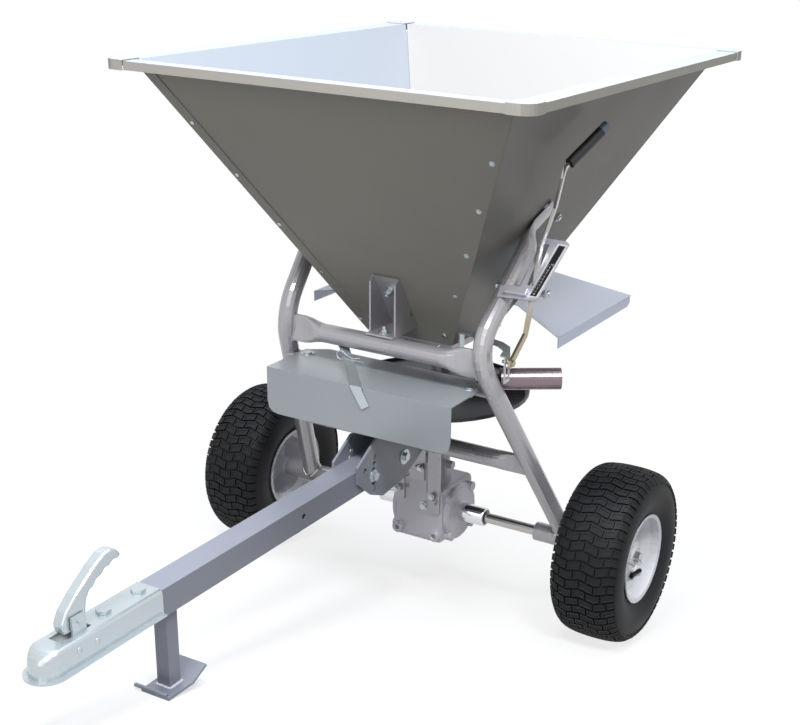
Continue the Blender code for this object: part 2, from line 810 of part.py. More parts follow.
def build_post(side):
    name = "side_post_" + SIDE_NAMES[side]
    post = loft(name, post_sections(side), "frame", "frame_paint")
    seat = rod(
        "housing_seat",
        (side * HOUSING_INNER_END, 0, TYRE_RADIUS),
        (side * HOUSING_OUTER_END, 0, TYRE_RADIUS),
        HOUSING_RADIUS + GAP,
        sides=32,
    )
    cut(post, seat)
    tab = block(
        "guard_tab",
        (side * 0.198 if side > 0 else -0.262, -0.236, GUARD_TOP - GUARD_SHEET - GAP - 0.004),
        (0.262 if side > 0 else side * 0.198, -0.200, GUARD_TOP - GUARD_SHEET - GAP),
    )
    join(post, tab)
    if side > 0:
        bolt_hole = rod(
            "lever_bolt_hole",
            (0.20, LEVER_PIVOT_Y, LEVER_PIVOT_Z),
            (0.34, LEVER_PIVOT_Y, LEVER_PIVOT_Z),
            LEVER_BOLT_RADIUS + GAP,
        )
        cut(post, bolt_hole)


def flattened_tube(name, y, z, half_length, tall):
    """A tube across the machine whose two ends are pressed flat and fitted to the side posts."""
    up = Vector((0, 0, 1))
    back = Vector((0, 1, 0))
    thin = FLAT_END_THICKNESS / 2
    flat = 0.040
    blend = 0.050
    profile = []
    for share in (0.0, 1.0):
        profile.append((half_length - flat * share, tall, thin, 4.0))
    for share in (0.33, 0.66, 1.0):
        ease = share * share * (3 - 2 * share)
        profile.append(
            (
                half_length - flat - blend * share,
                tall + (TUBE_RADIUS - tall) * ease,
                thin + (TUBE_RADIUS - thin) * ease,
                4.0 - 2.0 * ease,
            )
        )
    stations = profile + [(-x, wide, narrow, full) for x, wide, narrow, full in profile[::-1]]
    sections = [
        oval((x, y, z), up, back, wide, narrow, 20, full) for x, wide, narrow, full in stations
    ]
    tube = loft(name, sections, "frame", "frame_paint")
    for side in (-1, 1):
        trim = loft("post_trim", post_sections(side, GAP), "frame", "frame_paint")
        cut(tube, trim)
    return tube


def post_at(z):
    """Point of the right post's straight lower leg at height z."""
    foot, bend, _ = post_path(1)
    share = (bend.z - z) / (bend.z - foot.z)
    return bend.lerp(foot, share)


def outward(side, x=0.0, y=0.0, z=0.0):
    """Placement at a point of the axle line whose Z axis points out to one side."""
    return Matrix.Translation(AXLE + Vector((x, y, z))) @ Matrix.Rotation(side * math.pi / 2, 4, "Y")


def build_frame():
    for side in (-1, 1):
        build_post(side)
        ring(
            "axle_housing_" + SIDE_NAMES[side],
            HOUSING_RADIUS,
            BUSH_RADIUS + GAP,
            HOUSING_INNER_END,
            HOUSING_OUTER_END,
            outward(side),
            "frame",
            "frame_paint",
            32,
        )
        ring(
            "axle_bush_" + SIDE_NAMES[side],
            BUSH_RADIUS,
            AXLE_RADIUS + GAP,
            HOUSING_INNER_END,
            HOUSING_OUTER_END,
            outward(side),
            "frame",
            "steel",
        )
    front = flattened_tube(
        "front_cross_tube", FRONT_TUBE_Y, FRONT_TUBE_Z, POST_BEND.x, FLAT_END_HEIGHT / 2
    )
    lower = post_at(LOWER_TUBE_Z)
    flattened_tube("lower_cross_tube", lower.y, LOWER_TUBE_Z, lower.x, LOWER_END_HEIGHT / 2)
    stub_foot = post_at(STUB_Z)
    start = stub_foot + Vector((-0.012, 0.060, 0))
    end = start + Vector((0.117, 0.080, 0)).normalized() * STUB_LENGTH
    stub = rod("side_stay_tube", start, end, STUB_RADIUS, finish="frame_paint", sides=24)
    bore = rod(
        "stay_bore", start + (end - start) * 0.1, end + (end - start) * 0.2, STUB_RADIUS - STUB_WALL
    )
    cut(stub, bore)
    gusset = block(
        "stay_gusset",
        (start.x - 0.004, start.y - 0.060, STUB_Z - 0.012),
        (start.x + 0.004, start.y + 0.010, STUB_Z + 0.012),
    )
    join(stub, gusset)
    cut(stub, loft("stay_trim", post_sections(1, GAP), "frame", "frame_paint"))
    return front


def build_wheel(side):
    """Pressed rim with its hub, and the turf tyre on it."""
    body = "drive_axle" if side > 0 else "left_wheel"
    name = SIDE_NAMES[side]
    bore = AXLE_RADIUS + GAP
    half = HUB_LENGTH / 2
    rim = [
        (0.104, 0.071), (0.104, 0.068), (0.098, 0.066), (0.096, 0.046), (0.080, 0.036),
        (0.080, -0.036), (0.096, -0.046), (0.098, -0.066), (0.104, -0.068), (0.104, -0.071),
        (0.0955, -0.069), (0.0930, -0.049), (0.077, -0.039), (0.077, 0.022), (0.052, 0.030),
        (HUB_RADIUS, 0.034), (HUB_RADIUS, -half), (bore, -half), (bore, half),
        (HUB_RADIUS, half), (HUB_RADIUS, 0.040), (0.052, 0.036), (0.074, 0.028),
        (0.077, 0.034), (0.0930, 0.049), (0.0955, 0.069),
    ]
    place = outward(side, side * TRACK / 2) @ Matrix.Rotation(-side * PITCH, 4, "Z")
    turned("wheel_rim_" + name, rim, place, body, "rim_white", 30)
    build_tyre(name, place, body)


def build_tyre(name, place, body):
    """Hollow turf tyre; wavy grooves across the crown part its tread into 58 courses of blocks."""
    sidewall = TYRE_RADIUS - TYRE_BEAD_RADIUS
    half = TYRE_WIDTH / 2
    courses = TREAD_COURSES
    bm = bmesh.new()

    def ring_of(radius, x, count, turn=0.0):
        points = []
        for i in range(count):
            angle = math.tau * i / count + turn
            points.append(bm.verts.new((radius * math.cos(angle), radius * math.sin(angle), x)))
        return points

    def bridge(low, high):
        """Joins two rings; the second has as many points as the first or half as many."""
        ratio = len(low) // len(high)
        for i in range(len(high)):
            ahead = (i + 1) % len(high)
            if ratio == 1:
                bm.faces.new((low[i], low[ahead], high[ahead], high[i]))
            else:
                middle, end = low[2 * i + 1], low[(2 * i + 2) % len(low)]
                bm.faces.new((low[2 * i], middle, high[i]))
                bm.faces.new((middle, high[ahead], high[i]))
                bm.faces.new((middle, end, high[ahead]))

    def crown_ring(x, drop):
        """Four points a course: down one side of the groove, along its floor and up to the next block."""
        top = TYRE_RADIUS - drop
        swing = TREAD_SWING / TYRE_RADIUS * (abs((x / TREAD_WAVE) % 1.0 - 0.5) * 4 - 1)
        points = []
        for i in range(courses):
            for share, radius in (
                (0.0, top), (0.0, top - TREAD_DEPTH), (TREAD_GROOVE_SHARE, top - TREAD_DEPTH),
                (TREAD_GROOVE_SHARE, top),
            ):
                angle = math.tau * (i + share) / courses + swing
                points.append(bm.verts.new((radius * math.cos(angle), radius * math.sin(angle), x)))
        return points

    columns = [(x * half, drop) for x, drop in (
        (-0.736, 0.0063), (-0.411, 0.0013), (0.0, 0.0), (0.411, 0.0013), (0.736, 0.0063)
    )]
    rings = [crown_ring(x, drop) for x, drop in columns]
    for low, high in zip(rings, rings[1:]):
        bridge(low, high)
    groove_middle = math.tau * TREAD_GROOVE_SHARE / 2 / courses
    ends = []
    for sign, crown in ((-1, rings[0]), (1, rings[-1])):
        shoulder = ring_of(TYRE_BEAD_RADIUS + 0.766 * sidewall, sign * 0.908 * half, courses, groove_middle)
        for i in range(courses):
            ahead = (i + 1) % courses
            for k in range(3):
                bm.faces.new((crown[4 * i + k], crown[4 * i + k + 1], shoulder[i]))
            bm.faces.new((crown[4 * i + 3], shoulder[ahead], shoulder[i]))
            bm.faces.new((crown[4 * i + 3], crown[4 * ahead], shoulder[ahead]))
        last = ring_of(TYRE_BEAD_RADIUS + 0.645 * sidewall, sign * 0.982 * half, courses // 2, groove_middle)
        bridge(shoulder, last)
        bead = TYRE_BEAD_RADIUS - 0.0055
        rows = [
            (TYRE_BEAD_RADIUS + 0.544 * sidewall, half),
            (TYRE_BEAD_RADIUS + 0.312 * sidewall, 0.957 * half),
            (TYRE_BEAD_RADIUS + 0.111 * sidewall, 0.859 * half),
            (TYRE_BEAD_RADIUS + 0.010 * sidewall, 0.812 * half), (bead, BEAD_SEAT_OUTER),
            (bead, BEAD_SEAT_INNER), (TYRE_BEAD_RADIUS + 0.312 * sidewall, 0.853 * half),
            (TYRE_BEAD_RADIUS + 0.544 * sidewall, 0.896 * half),
            (TYRE_BEAD_RADIUS + 0.847 * sidewall, 0.736 * half),
            (TYRE_BEAD_RADIUS + 0.887 * sidewall, 0.552 * half),
        ]
        for radius, x in rows:
            following = ring_of(radius, sign * x, courses // 2, groove_middle)
            bridge(last, following)
            last = following
        ends.append(last)
    bridge(*ends)
    add("tyre_" + name, finish_mesh(bm, "tyre_" + name), body, "rubber", place)


def build_axle():
    reach = TRACK / 2 + HUB_LENGTH / 2 + 0.012
    rod("axle_shaft", (-reach, 0, TYRE_RADIUS), (reach, 0, TYRE_RADIUS), AXLE_RADIUS, "drive_axle")
    for side in (-1, 1):
        build_wheel(side)


def build_gearbox():
    z = TYRE_RADIUS
    case = block(
        "gearbox_case",
        (-CASE_HALF_X, -CASE_HALF_Y, z - CASE_BELOW),
        (CASE_HALF_X, CASE_HALF_Y, z + CASE_ABOVE),
        finish="cast_paint",
    )
    round_edges(case, 0.012, 3)
    turret = rod("turret", (0, 0, z + 0.04), (0, 0, TURRET_TOP - 0.02), TURRET_RADIUS, sides=32,
                 end_radius=TURRET_RADIUS - 0.006)
    cap = rod("turret_cap", (0, 0, TURRET_TOP - 0.03), (0, 0, TURRET_TOP), 0.030, sides=32)
    bosses = [turret, cap]
    for x in (-0.052, 0.052):
        bosses.append(rod("boss", (x, -CASE_HALF_Y - 0.001, 0.161), (x, 0.0, 0.161), 0.0135))
    neck = block("neck", (-0.024, -CASE_HALF_Y, 0.250), (0.024, 0, TURRET_TOP - 0.004))
    bosses.append(neck)
    plug = rod("side_plug", (0.03, -0.0, 0.318), (0.052, -0.0, 0.318), 0.011, sides=6)
    join(case, *bosses, plug)
    bore = rod("axle_bore", (-0.2, 0, z), (0.2, 0, z), AXLE_RADIUS + GAP)
    spindle_bore = rod(
        "spindle_bore", (0, 0, SPINDLE_FOOT), (0, 0, TURRET_TOP + 0.02), SPINDLE_RADIUS + GAP
    )
    cut(case, bore, spindle_bore)
    for side in (-1, 1):
        inner = CASE_HALF_X + GAP
        hub = inner + COVER_THICKNESS + SLEEVE_LENGTH
        profile = [
            (SLEEVE_RADIUS, hub), (SLEEVE_RADIUS, inner + COVER_THICKNESS + 0.004),
            (SLEEVE_RADIUS + 0.010, inner + COVER_THICKNESS),
            (COVER_RADIUS - 0.006, inner + COVER_THICKNESS),
            (COVER_RADIUS, inner + COVER_THICKNESS - 0.005), (COVER_RADIUS, inner),
            (AXLE_RADIUS + GAP, inner), (AXLE_RADIUS + GAP, hub),
        ]
        cover = turned(
            "gearbox_cover_" + SIDE_NAMES[side], profile, outward(side), "frame", "cast_paint", 28
        )
        for y in (-0.048, 0.048):
            for dz in (-0.048, 0.048):
                lug = rod(
                    "cover_lug",
                    (side * inner, y, z + dz),
                    (side * (inner + COVER_THICKNESS + 0.003), y, z + dz),
                    0.012,
                )
                join(cover, lug)
    lower_y = post_at(LOWER_TUBE_Z).y
    face = -CASE_HALF_Y - GAP
    for name, low_x, high_x, low_z in (
        ("gearbox_strap_centre", -0.020, 0.020, 0.300),
        ("gearbox_strap_right", 0.030, 0.063, 0.222),
        ("gearbox_strap_left", -0.063, -0.035, 0.240),
    ):
        strap = block(name, (low_x, face - 0.005, low_z), (high_x, face, LOWER_TUBE_Z + 0.004))
        for bolt_z in (low_z + 0.028,):
            bolt = rod(
                "strap_bolt",
                ((low_x + high_x) / 2, face - 0.002, bolt_z),
                ((low_x + high_x) / 2, face - 0.013, bolt_z),
                0.0095,
                sides=6,
            )
            join(strap, bolt)
        trim = rod(
            "strap_trim",
            (-0.2, lower_y, LOWER_TUBE_Z),
            (0.2, lower_y, LOWER_TUBE_Z),
            TUBE_RADIUS + GAP,
            sides=32,
        )
        cut(strap, trim)


def build_spinner():
    """Disc with its hub and four vanes, the spindle it is pinned to, and the agitator."""
    rod("spindle", (0, 0, SPINDLE_FOOT + GAP), (0, 0, SPINDLE_TOP), SPINDLE_RADIUS, "spinner")
    top = DISC_Z
    radius = DISC_RADIUS
    bore = SPINDLE_RADIUS + GAP
    hub_low = TURRET_TOP + 0.002
    profile = [
        (0.030, top + 0.012), (0.030, top), (radius - 0.004, top), (radius - 0.004, top + 0.006),
        (radius, top + 0.006), (radius, top - DISC_SHEET), (0.019, top - DISC_SHEET),
        (0.019, hub_low), (bore, hub_low), (bore, top + 0.012),
    ]
    disc = turned("spinner_disc", profile, Matrix(), "spinner", "disc_black", 40)
    for i in range(4):
        turn = Matrix.Rotation(math.pi / 2 * i + math.radians(20), 4, "Z")
        vane = solid_plate(
            "vane",
            [(0.055, 0), (radius - 0.010, 0), (radius - 0.010, 0.022), (0.062, 0.026)],
            0.003,
            turn @ Matrix.Translation((0, 0, top - 0.001)) @ Matrix.Rotation(math.pi / 2, 4, "X"),
            "spinner",
            "steel",
        )
        join(disc, vane)
    collar = ring("agitator", 0.021, bore, 0.690, 0.716, Matrix(), "spinner", "steel")
    for side in (-1, 1):
        arm = rod("agitator_arm", (side * 0.018, 0, 0.703), (side * 0.078, 0, 0.703), 0.005, "spinner")
        tip = rod("agitator_tip", (side * 0.075, 0, 0.699), (side * 0.082, 0, 0.742), 0.005, "spinner")
        join(collar, arm, tip)


def arc_hole(angle, radius=LOCK_RADIUS):
    a = math.radians(angle)
    return PIVOT_Y - radius * math.cos(a), BAR_Z + radius * math.sin(a)


def build_drawbar():
    half = BAR_SIZE / 2
    bar = block("drawbar_tube", (-half, BAR_FRONT, BAR_Z - half), (half, BAR_REAR, BAR_Z + half))
    hollow = block(
        "bar_hollow",
        (-half + BAR_WALL, BAR_FRONT - 0.01, BAR_Z - half + BAR_WALL),
        (half - BAR_WALL, BAR_REAR + 0.01, BAR_Z + half - BAR_WALL),
    )
    bar_cuts = [hollow]
    for y, z in ((PIVOT_Y, BAR_Z), arc_hole(0), (-0.575, BAR_Z)):
        bar_cuts.append(rod("bar_hole", (-0.05, y, z), (0.05, y, z), LOCK_BOLT_RADIUS + GAP, sides=20))
    for y in COUPLER_BOLTS:
        bar_cuts.append(
            rod("bar_bolt_hole", (0, y, BAR_Z - 0.05), (0, y, BAR_Z + 0.05), COUPLER_BOLT_RADIUS + GAP)
        )
    cut(bar, *bar_cuts)
    lower_y = post_at(LOWER_TUBE_Z).y
    saddle = []
    for angle in range(250, 109, -20):
        a = math.radians(angle)
        reach = TUBE_RADIUS + GAP * 2
        saddle.append((lower_y + reach * math.cos(a), LOWER_TUBE_Z + reach * math.sin(a)))
    outline = [
        *saddle, (-0.125, 0.470), (-0.315, 0.489), (-0.385, 0.446), (-0.385, 0.407),
        (-0.333, 0.364), (-0.285, 0.344), (-0.195, 0.354),
    ]
    holes = [circle(*arc_hole(a), LOCK_BOLT_RADIUS + GAP) for a in (19, 12.5, 6.2, -7, -15)]
    holes.append(circle(*arc_hole(8, 0.164), LOCK_BOLT_RADIUS + GAP))
    holes.append(circle(*arc_hole(0), LOCK_BOLT_RADIUS + GAP))
    holes.append(circle(PIVOT_Y, BAR_Z, LOCK_BOLT_RADIUS + GAP))
    for side in (-1, 1):
        x = side * (half + GAP + PLATE_SHEET / 2)
        sheet_part(
            "drawbar_plate_" + SIDE_NAMES[side], outline, PLATE_SHEET, side_plane(x), "frame",
            "frame_paint", holes,
        )
    face = half + GAP + PLATE_SHEET + GAP
    for name, (y, z) in (("drawbar_pivot_bolt", (PIVOT_Y, BAR_Z)), ("drawbar_lock_bolt", arc_hole(0))):
        bolt = rod(name, (-face - 0.014, y, z), (face + 0.002, y, z), LOCK_BOLT_RADIUS, finish="zinc")
        head = rod("head", (face, y, z), (face + 0.009, y, z), 0.0105, sides=6)
        nut = rod("nut", (-face - 0.011, y, z), (-face, y, z), 0.0105, sides=6)
        join(bolt, head, nut)
    top = BAR_Z - half - GAP
    leg = block(
        "parking_leg", (-LEG_SIZE / 2, LEG_Y - LEG_SIZE / 2, FOOT_Z + 0.002),
        (LEG_SIZE / 2, LEG_Y + LEG_SIZE / 2, top),
    )
    inner = LEG_SIZE / 2 - 0.003
    leg_hollow = block(
        "leg_hollow", (-inner, LEG_Y - inner, FOOT_Z + 0.02), (inner, LEG_Y + inner, top + 0.02)
    )
    front = LEG_Y - FOOT_LENGTH / 2
    sole = FOOT_Z
    shoe = solid_plate(
        "foot",
        [
            (front, sole), (-0.945, sole), (-0.905, sole + 0.019), (-0.907, sole + 0.0235),
            (-0.9465, sole + FOOT_SHEET), (front, sole + FOOT_SHEET),
        ],
        FOOT_WIDTH, side_plane(0.004), "frame", "frame_paint",
    )
    lip = rod("foot_bar", (-0.047, front + 0.004, sole + 0.0065), (0.030, front + 0.004, sole + 0.0065),
              0.004, sides=10)
    cut(leg, leg_hollow)
    join(leg, shoe, lip)


def build_coupler():
    half = BAR_SIZE / 2 + GAP
    outer = half + COUPLER_SHEET
    roof = BAR_Z + BAR_SIZE / 2 + GAP
    top = roof + COUPLER_SHEET
    # Height, how far the sides draw in and how far the nose draws back: a channel whose upper edges are
    # rounded over, running out into a dome over the ball.
    steps = (
        (FLANGE_Z - 0.008, 0.0, 0.0), (BALL_Z + 0.004, 0.0, 0.0), (BALL_Z + 0.012, 0.0001, 0.0015),
        (BALL_Z + 0.019, 0.0003, 0.0060), (top - 0.0063, 0.0012, 0.0130), (top - 0.0023, 0.0036, 0.0200),
        (top, 0.0068, 0.0275),
    )
    rings = []
    for z, narrower, shorter in steps:
        across = outer - narrower
        ring_points = []
        for degrees in range(180, 361, 12):
            a = math.radians(degrees)
            ring_points.append(Vector((across * math.cos(a), BALL_Y + (outer - shorter) * math.sin(a), z)))
        ring_points += [Vector((across, COUPLER_REAR, z)), Vector((-across, COUPLER_REAR, z))]
        rings.append(ring_points)
    body = loft("coupler_body", rings, "frame", "zinc")
    rim_outline = [
        Vector((FLANGE_HALF * math.cos(math.radians(a)), BALL_Y - FLANGE_HALF * math.sin(math.radians(a))))
        for a in range(0, 181, 12)
    ]
    rim_outline += [Vector((-outer - 0.008, -1.10)), Vector((-outer - 0.008, COUPLER_REAR)),
                    Vector((outer + 0.008, COUPLER_REAR)), Vector((outer + 0.008, -1.10))]
    flange_plane = floor_plane(FLANGE_Z - 0.006)
    flange = solid_plate("flange", rim_outline, COUPLER_SHEET, flange_plane, "frame", "zinc")
    join(body, flange)
    channel = block("channel", (-half, -1.205, FLANGE_Z - 0.03), (half, COUPLER_REAR + 0.01, roof))
    mouth = block("mouth", (-0.0145, -1.236, roof - 0.02), (0.0145, -1.166, top + 0.02))
    throat = block("throat", (-0.019, -1.262, FLANGE_Z - 0.03), (0.019, -1.200, BALL_Z - 0.004))
    bm = bmesh.new()
    bmesh.ops.create_uvsphere(bm, u_segments=32, v_segments=16, radius=BALL_RADIUS + 0.0005)
    ball = add("ball_space", finish_mesh(bm, "ball_space"), "frame", "zinc",
               Matrix.Translation((0, BALL_Y, BALL_Z)))
    drop = rod("ball_entry", (0, BALL_Y, FLANGE_Z - 0.03), (0, BALL_Y, BALL_Z - 0.002),
               BALL_RADIUS + 0.0014, sides=30)
    clear = block("clear", (-0.0215, -1.241, BALL_Z - 0.045), (0.0215, -1.190, roof - 0.002))
    cut(body, channel, mouth, throat, ball, drop, clear)
    pivot = HANDLE_PIVOT
    for side in (-1, 1):
        low, high = sorted((side * 0.0135, side * 0.0180))
        cheek = block(
            "cheek", (low, pivot.y - 0.016, roof + 0.001), (high, pivot.y + 0.016, pivot.z + 0.012)
        )
        join(body, cheek)
    pin = rod("handle_pin", (-0.0212, pivot.y, pivot.z), (0.0212, pivot.y, pivot.z), 0.004)
    join(body, pin)
    for y in COUPLER_BOLTS:
        cut(body, rod("bolt_hole", (0, y, roof - 0.01), (0, y, top + 0.01), COUPLER_BOLT_RADIUS + GAP))
        name = "coupler_bolt_rear" if y == COUPLER_BOLTS[0] else "coupler_bolt_front"
        low = BAR_Z - BAR_SIZE / 2
        bolt = rod(name, (0, y, low - 0.014), (0, y, top + 0.003), COUPLER_BOLT_RADIUS, finish="zinc")
        head = rod("head", (0, y, top + GAP), (0, y, top + 0.0062), 0.0138, sides=6)
        nut = rod("nut", (0, y, low - 0.0105), (0, y, low - GAP), 0.0115, sides=6)
        join(bolt, head, nut)
    outline = [
        (-1.224, 0.446), (-1.228, 0.464), (-1.217, 0.484), (-1.192, 0.507), (-1.146, 0.540),
        (-1.122, 0.553), (-1.106, 0.556), (-1.092, 0.550), (-1.082, 0.537), (-1.089, 0.532),
        (-1.101, 0.534), (-1.112, 0.527), (-1.122, 0.527), (-1.131, 0.518), (-1.142, 0.516),
        (-1.151, 0.506), (-1.161, 0.502), (-1.169, 0.490), (-1.172, 0.474), (-1.172, 0.446),
    ]
    handle = solid_plate(
        "coupler_handle", outline, 0.024, side_plane(0), "coupler_handle", "zinc"
    )
    round_edges(handle, 0.004, 2, 30)
    cut(handle, rod("handle_bore", (-0.03, pivot.y, pivot.z), (0.03, pivot.y, pivot.z), 0.004 + GAP))
    clamp = block("ball_clamp", (-0.014, -1.238, 0.390), (0.014, -1.206, 0.412), "ball_clamp", "zinc")
    bm = bmesh.new()
    bmesh.ops.create_uvsphere(bm, u_segments=32, v_segments=16, radius=BALL_RADIUS + 0.0008)
    bite = add("clamp_bite", finish_mesh(bm, "clamp_bite"), "ball_clamp", "zinc",
               Matrix.Translation((0, BALL_Y, BALL_Z)))
    cut(clamp, bite)
    at = PIVOTS["ball_clamp"]
    join(clamp, rod("clamp_pin", (-0.0212, at.y, at.z), (0.0212, at.y, at.z), 0.004, "ball_clamp"))


def build_guards():
    """Folded front guard, the slotted strap over it with its clip, the hopper's foot and the rear guard."""
    half = GUARD_WIDTH / 2
    top = GUARD_TOP - GUARD_SHEET / 2
    plate = solid_plate(
        "front_guard",
        rounded([(-half, GUARD_FOLD_Y), (half, GUARD_FOLD_Y), (half, -0.196), (0.190, -0.165),
                 (-0.190, -0.165), (-half, -0.196)], 0.002, 2),
        GUARD_SHEET, floor_plane(top), "frame", "guard_paint",
    )
    drop = GUARD_TOP - GUARD_DROP
    apron_outline = [
        (-half, GUARD_TOP), (-half, drop + 0.030),
        (-half + 0.004, drop + 0.012), (-half + 0.014, drop + 0.003),
        (-half + 0.030, drop), (half - 0.030, drop), (half - 0.014, drop + 0.003),
        (half - 0.004, drop + 0.012), (half, drop + 0.030), (half, GUARD_TOP),
    ]
    apron = solid_plate(
        "apron", apron_outline, GUARD_SHEET,
        plane_matrix((0, GUARD_FOLD_Y + GUARD_SHEET / 2, 0), (1, 0, 0), (0, 0, 1)), "frame", "guard_paint",
    )
    join(plate, apron)
    for side in (-1, 1):
        x = side * 0.214
        cut(plate, rod("guard_hole", (x, -0.218, 0.60), (x, -0.218, 0.63), 0.004 + GAP))
        post = bpy.data.objects["side_post_" + SIDE_NAMES[side]]
        cut(post, rod("tab_hole", (x, -0.218, 0.60), (x, -0.218, 0.63), 0.004 + GAP))
        name = "guard_bolt_" + SIDE_NAMES[side]
        bolt = rod(name, (x, -0.218, 0.595), (x, -0.218, GUARD_TOP + 0.003), 0.004, finish="zinc")
        head = rod("head", (x, -0.218, GUARD_TOP + GAP), (x, -0.218, GUARD_TOP + 0.0045), 0.010, sides=24)
        nut = rod("nut", (x, -0.218, 0.599), (x, -0.218, GUARD_TOP - GUARD_SHEET - 0.004 - GAP * 2), 0.0075,
                  sides=6)
        join(bolt, head, nut)
    build_strap()
    build_hopper_bracket()
    build_rear_guard()


def build_strap():
    """Slim punched bar from under the front tube, over the guard's fold and down its apron."""
    skin = 0.0015
    under = FRONT_TUBE_Z - TUBE_RADIUS - skin - GAP
    front = GUARD_FOLD_Y - skin - GAP
    stations = [
        ((-0.113, -0.225, under), (0.0077, 0.0078, 0), (0, 0, 1)),
        ((-0.100, -0.238, under), (0.0077, 0.0078, 0), (0, -0.2, 1)),
        ((-0.006, -0.3340, GUARD_TOP + 0.0050), (0.0157, 0, 0), (0, -0.4, 1)),
        ((0.001, GUARD_FOLD_Y - 0.0030, GUARD_TOP + 0.0015), (0.0150, 0, 0), (0, -1, 0.9)),
        ((0.005, front, GUARD_TOP - 0.009), (0.0140, 0, 0), (0, -1, 0)),
        ((0.026, front, 0.572), (0.0093, 0, 0.0058), (0, -1, 0)),
    ]
    sections = []
    for centre, across, facing in stations:
        centre, across = Vector(centre), Vector(across)
        lift = Vector(facing).normalized() * skin
        sections.append(
            [centre + across + lift, centre - across + lift, centre - across - lift, centre + across - lift]
        )
    loft("adjuster_strap", sections, "frame", "zinc", smooth=False)


def build_hopper_bracket():
    """Folded foot that stands on the front tube and is bolted to the front panel."""
    base = FRONT_TUBE_Z + TUBE_RADIUS + GAP
    sheet = 0.004
    top = 0.832

    def panel_y(z, away=GAP):
        return -reach_at(FRONT, z, away)

    web = solid_plate(
        "hopper_bracket",
        [
            (panel_y(base), base), (panel_y(top), top), (panel_y(top, GAP + sheet), top + 0.0002),
            (panel_y(base, GAP + sheet), base),
        ],
        0.068, side_plane(0), "frame", "frame_paint",
    )
    for side in (-1, 1):
        flange = solid_plate(
            "bracket_side",
            [
                (FRONT_TUBE_Y, base), (FRONT_TUBE_Y, top - 0.012), (panel_y(top) - 0.003, top - 0.002),
                (panel_y(base), base),
            ],
            sheet, side_plane(side * (0.034 - sheet / 2)), "frame", "frame_paint",
        )
        join(web, flange)
    foot = block(
        "bracket_foot", (-0.034, FRONT_TUBE_Y - 0.012, base), (0.034, panel_y(base + sheet), base + sheet)
    )
    join(web, foot)


def build_rear_guard():
    z = REAR_GUARD_Z
    edge = reach_at(REAR, z) + 0.004
    half = REAR_GUARD_HALF
    outline = [
        (-0.137, edge), (-half, -0.030), (-half - 0.004, 0.373), (0, 0.490),
        (half + 0.004, 0.373), (half, -0.030), (0.137, edge),
    ]
    plate = solid_plate("rear_guard", outline[::-1], GUARD_SHEET, floor_plane(z), "frame", "guard_paint")
    for side in (-1, 1):
        skirt = solid_plate(
            "guard_side",
            [(-0.030, z), (-0.030, z - REAR_GUARD_FLANGE), (0.360, z - REAR_GUARD_FLANGE),
             (0.373, z - REAR_GUARD_FLANGE + 0.008), (0.373, z)],
            GUARD_SHEET, side_plane(side * (half + 0.001)), "frame", "guard_paint",
        )
        join(plate, skirt)
    rise = 0.036
    lip = solid_plate(
        "guard_lip",
        [
            (reach_at(REAR, z - 0.001, GAP), z - 0.001),
            (reach_at(REAR, z - 0.001, GAP) + 0.010, z - 0.001),
            (reach_at(REAR, z + 0.003, GAP + 0.002), z + 0.003),
            (reach_at(REAR, z + rise, GAP + 0.002), z + rise), (reach_at(REAR, z + rise, GAP), z + rise),
        ],
        0.180, side_plane(0), "frame", "guard_paint",
    )
    join(plate, lip)


def gate_matrix():
    """Plane of the gate plate: its x runs to the right, its y up the post and its origin at the bend."""
    foot, bend, top = post_path(1)
    head = top + panel_normal() * (0.004 + GAP)
    up = Vector((0, head.y - bend.y, head.z - bend.z)).normalized()
    normal = Vector((1, 0, 0)).cross(up)
    off = TUBE_RADIUS + GAP + GATE_SHEET / 2
    front = -normal if normal.y > 0 else normal
    return plane_matrix(Vector((0, bend.y, bend.z)) + front * off, (1, 0, 0), up)


def build_gate():
    """Scale plate on the right post with the slot that the lever runs in, and its sliding stop."""
    place = gate_matrix()
    outline = [
        (-0.064, 0.128), (0.020, 0.132), (0.028, 0.138), (0.051, 0.276), (0.042, 0.282), (-0.008, 0.282),
        (-0.014, 0.276), (-0.020, 0.162), (-0.028, 0.156), (-0.064, 0.154),
    ]
    outline = [(LEVER_X + x, y) for x, y in outline]
    slot_left, slot_right = LEVER_X - LEVER_WIDTH / 2, LEVER_X + LEVER_WIDTH / 2
    slot = [(slot_left, 0.166), (slot_right, 0.166), (slot_right, 0.268), (slot_left, 0.268)]
    sheet_part("gate_plate", outline, GATE_SHEET, place, "frame", "frame_paint", [slot])
    face = GATE_SHEET / 2 + GAP
    normal = (place.to_3x3() @ Vector((0, 0, 1))).normalized()
    sign = 1 if normal.y < 0 else -1
    stop = solid_plate(
        "gate_stop",
        [(LEVER_X + x, y) for x, y in ((-0.048, 0.137), (0.004, 0.137), (0.004, 0.155), (-0.048, 0.155))],
        0.010, place @ Matrix.Translation((0, 0, sign * (face + 0.005))), "gate_stop", "frame_paint",
    )
    round_edges(stop, 0.002, 2)


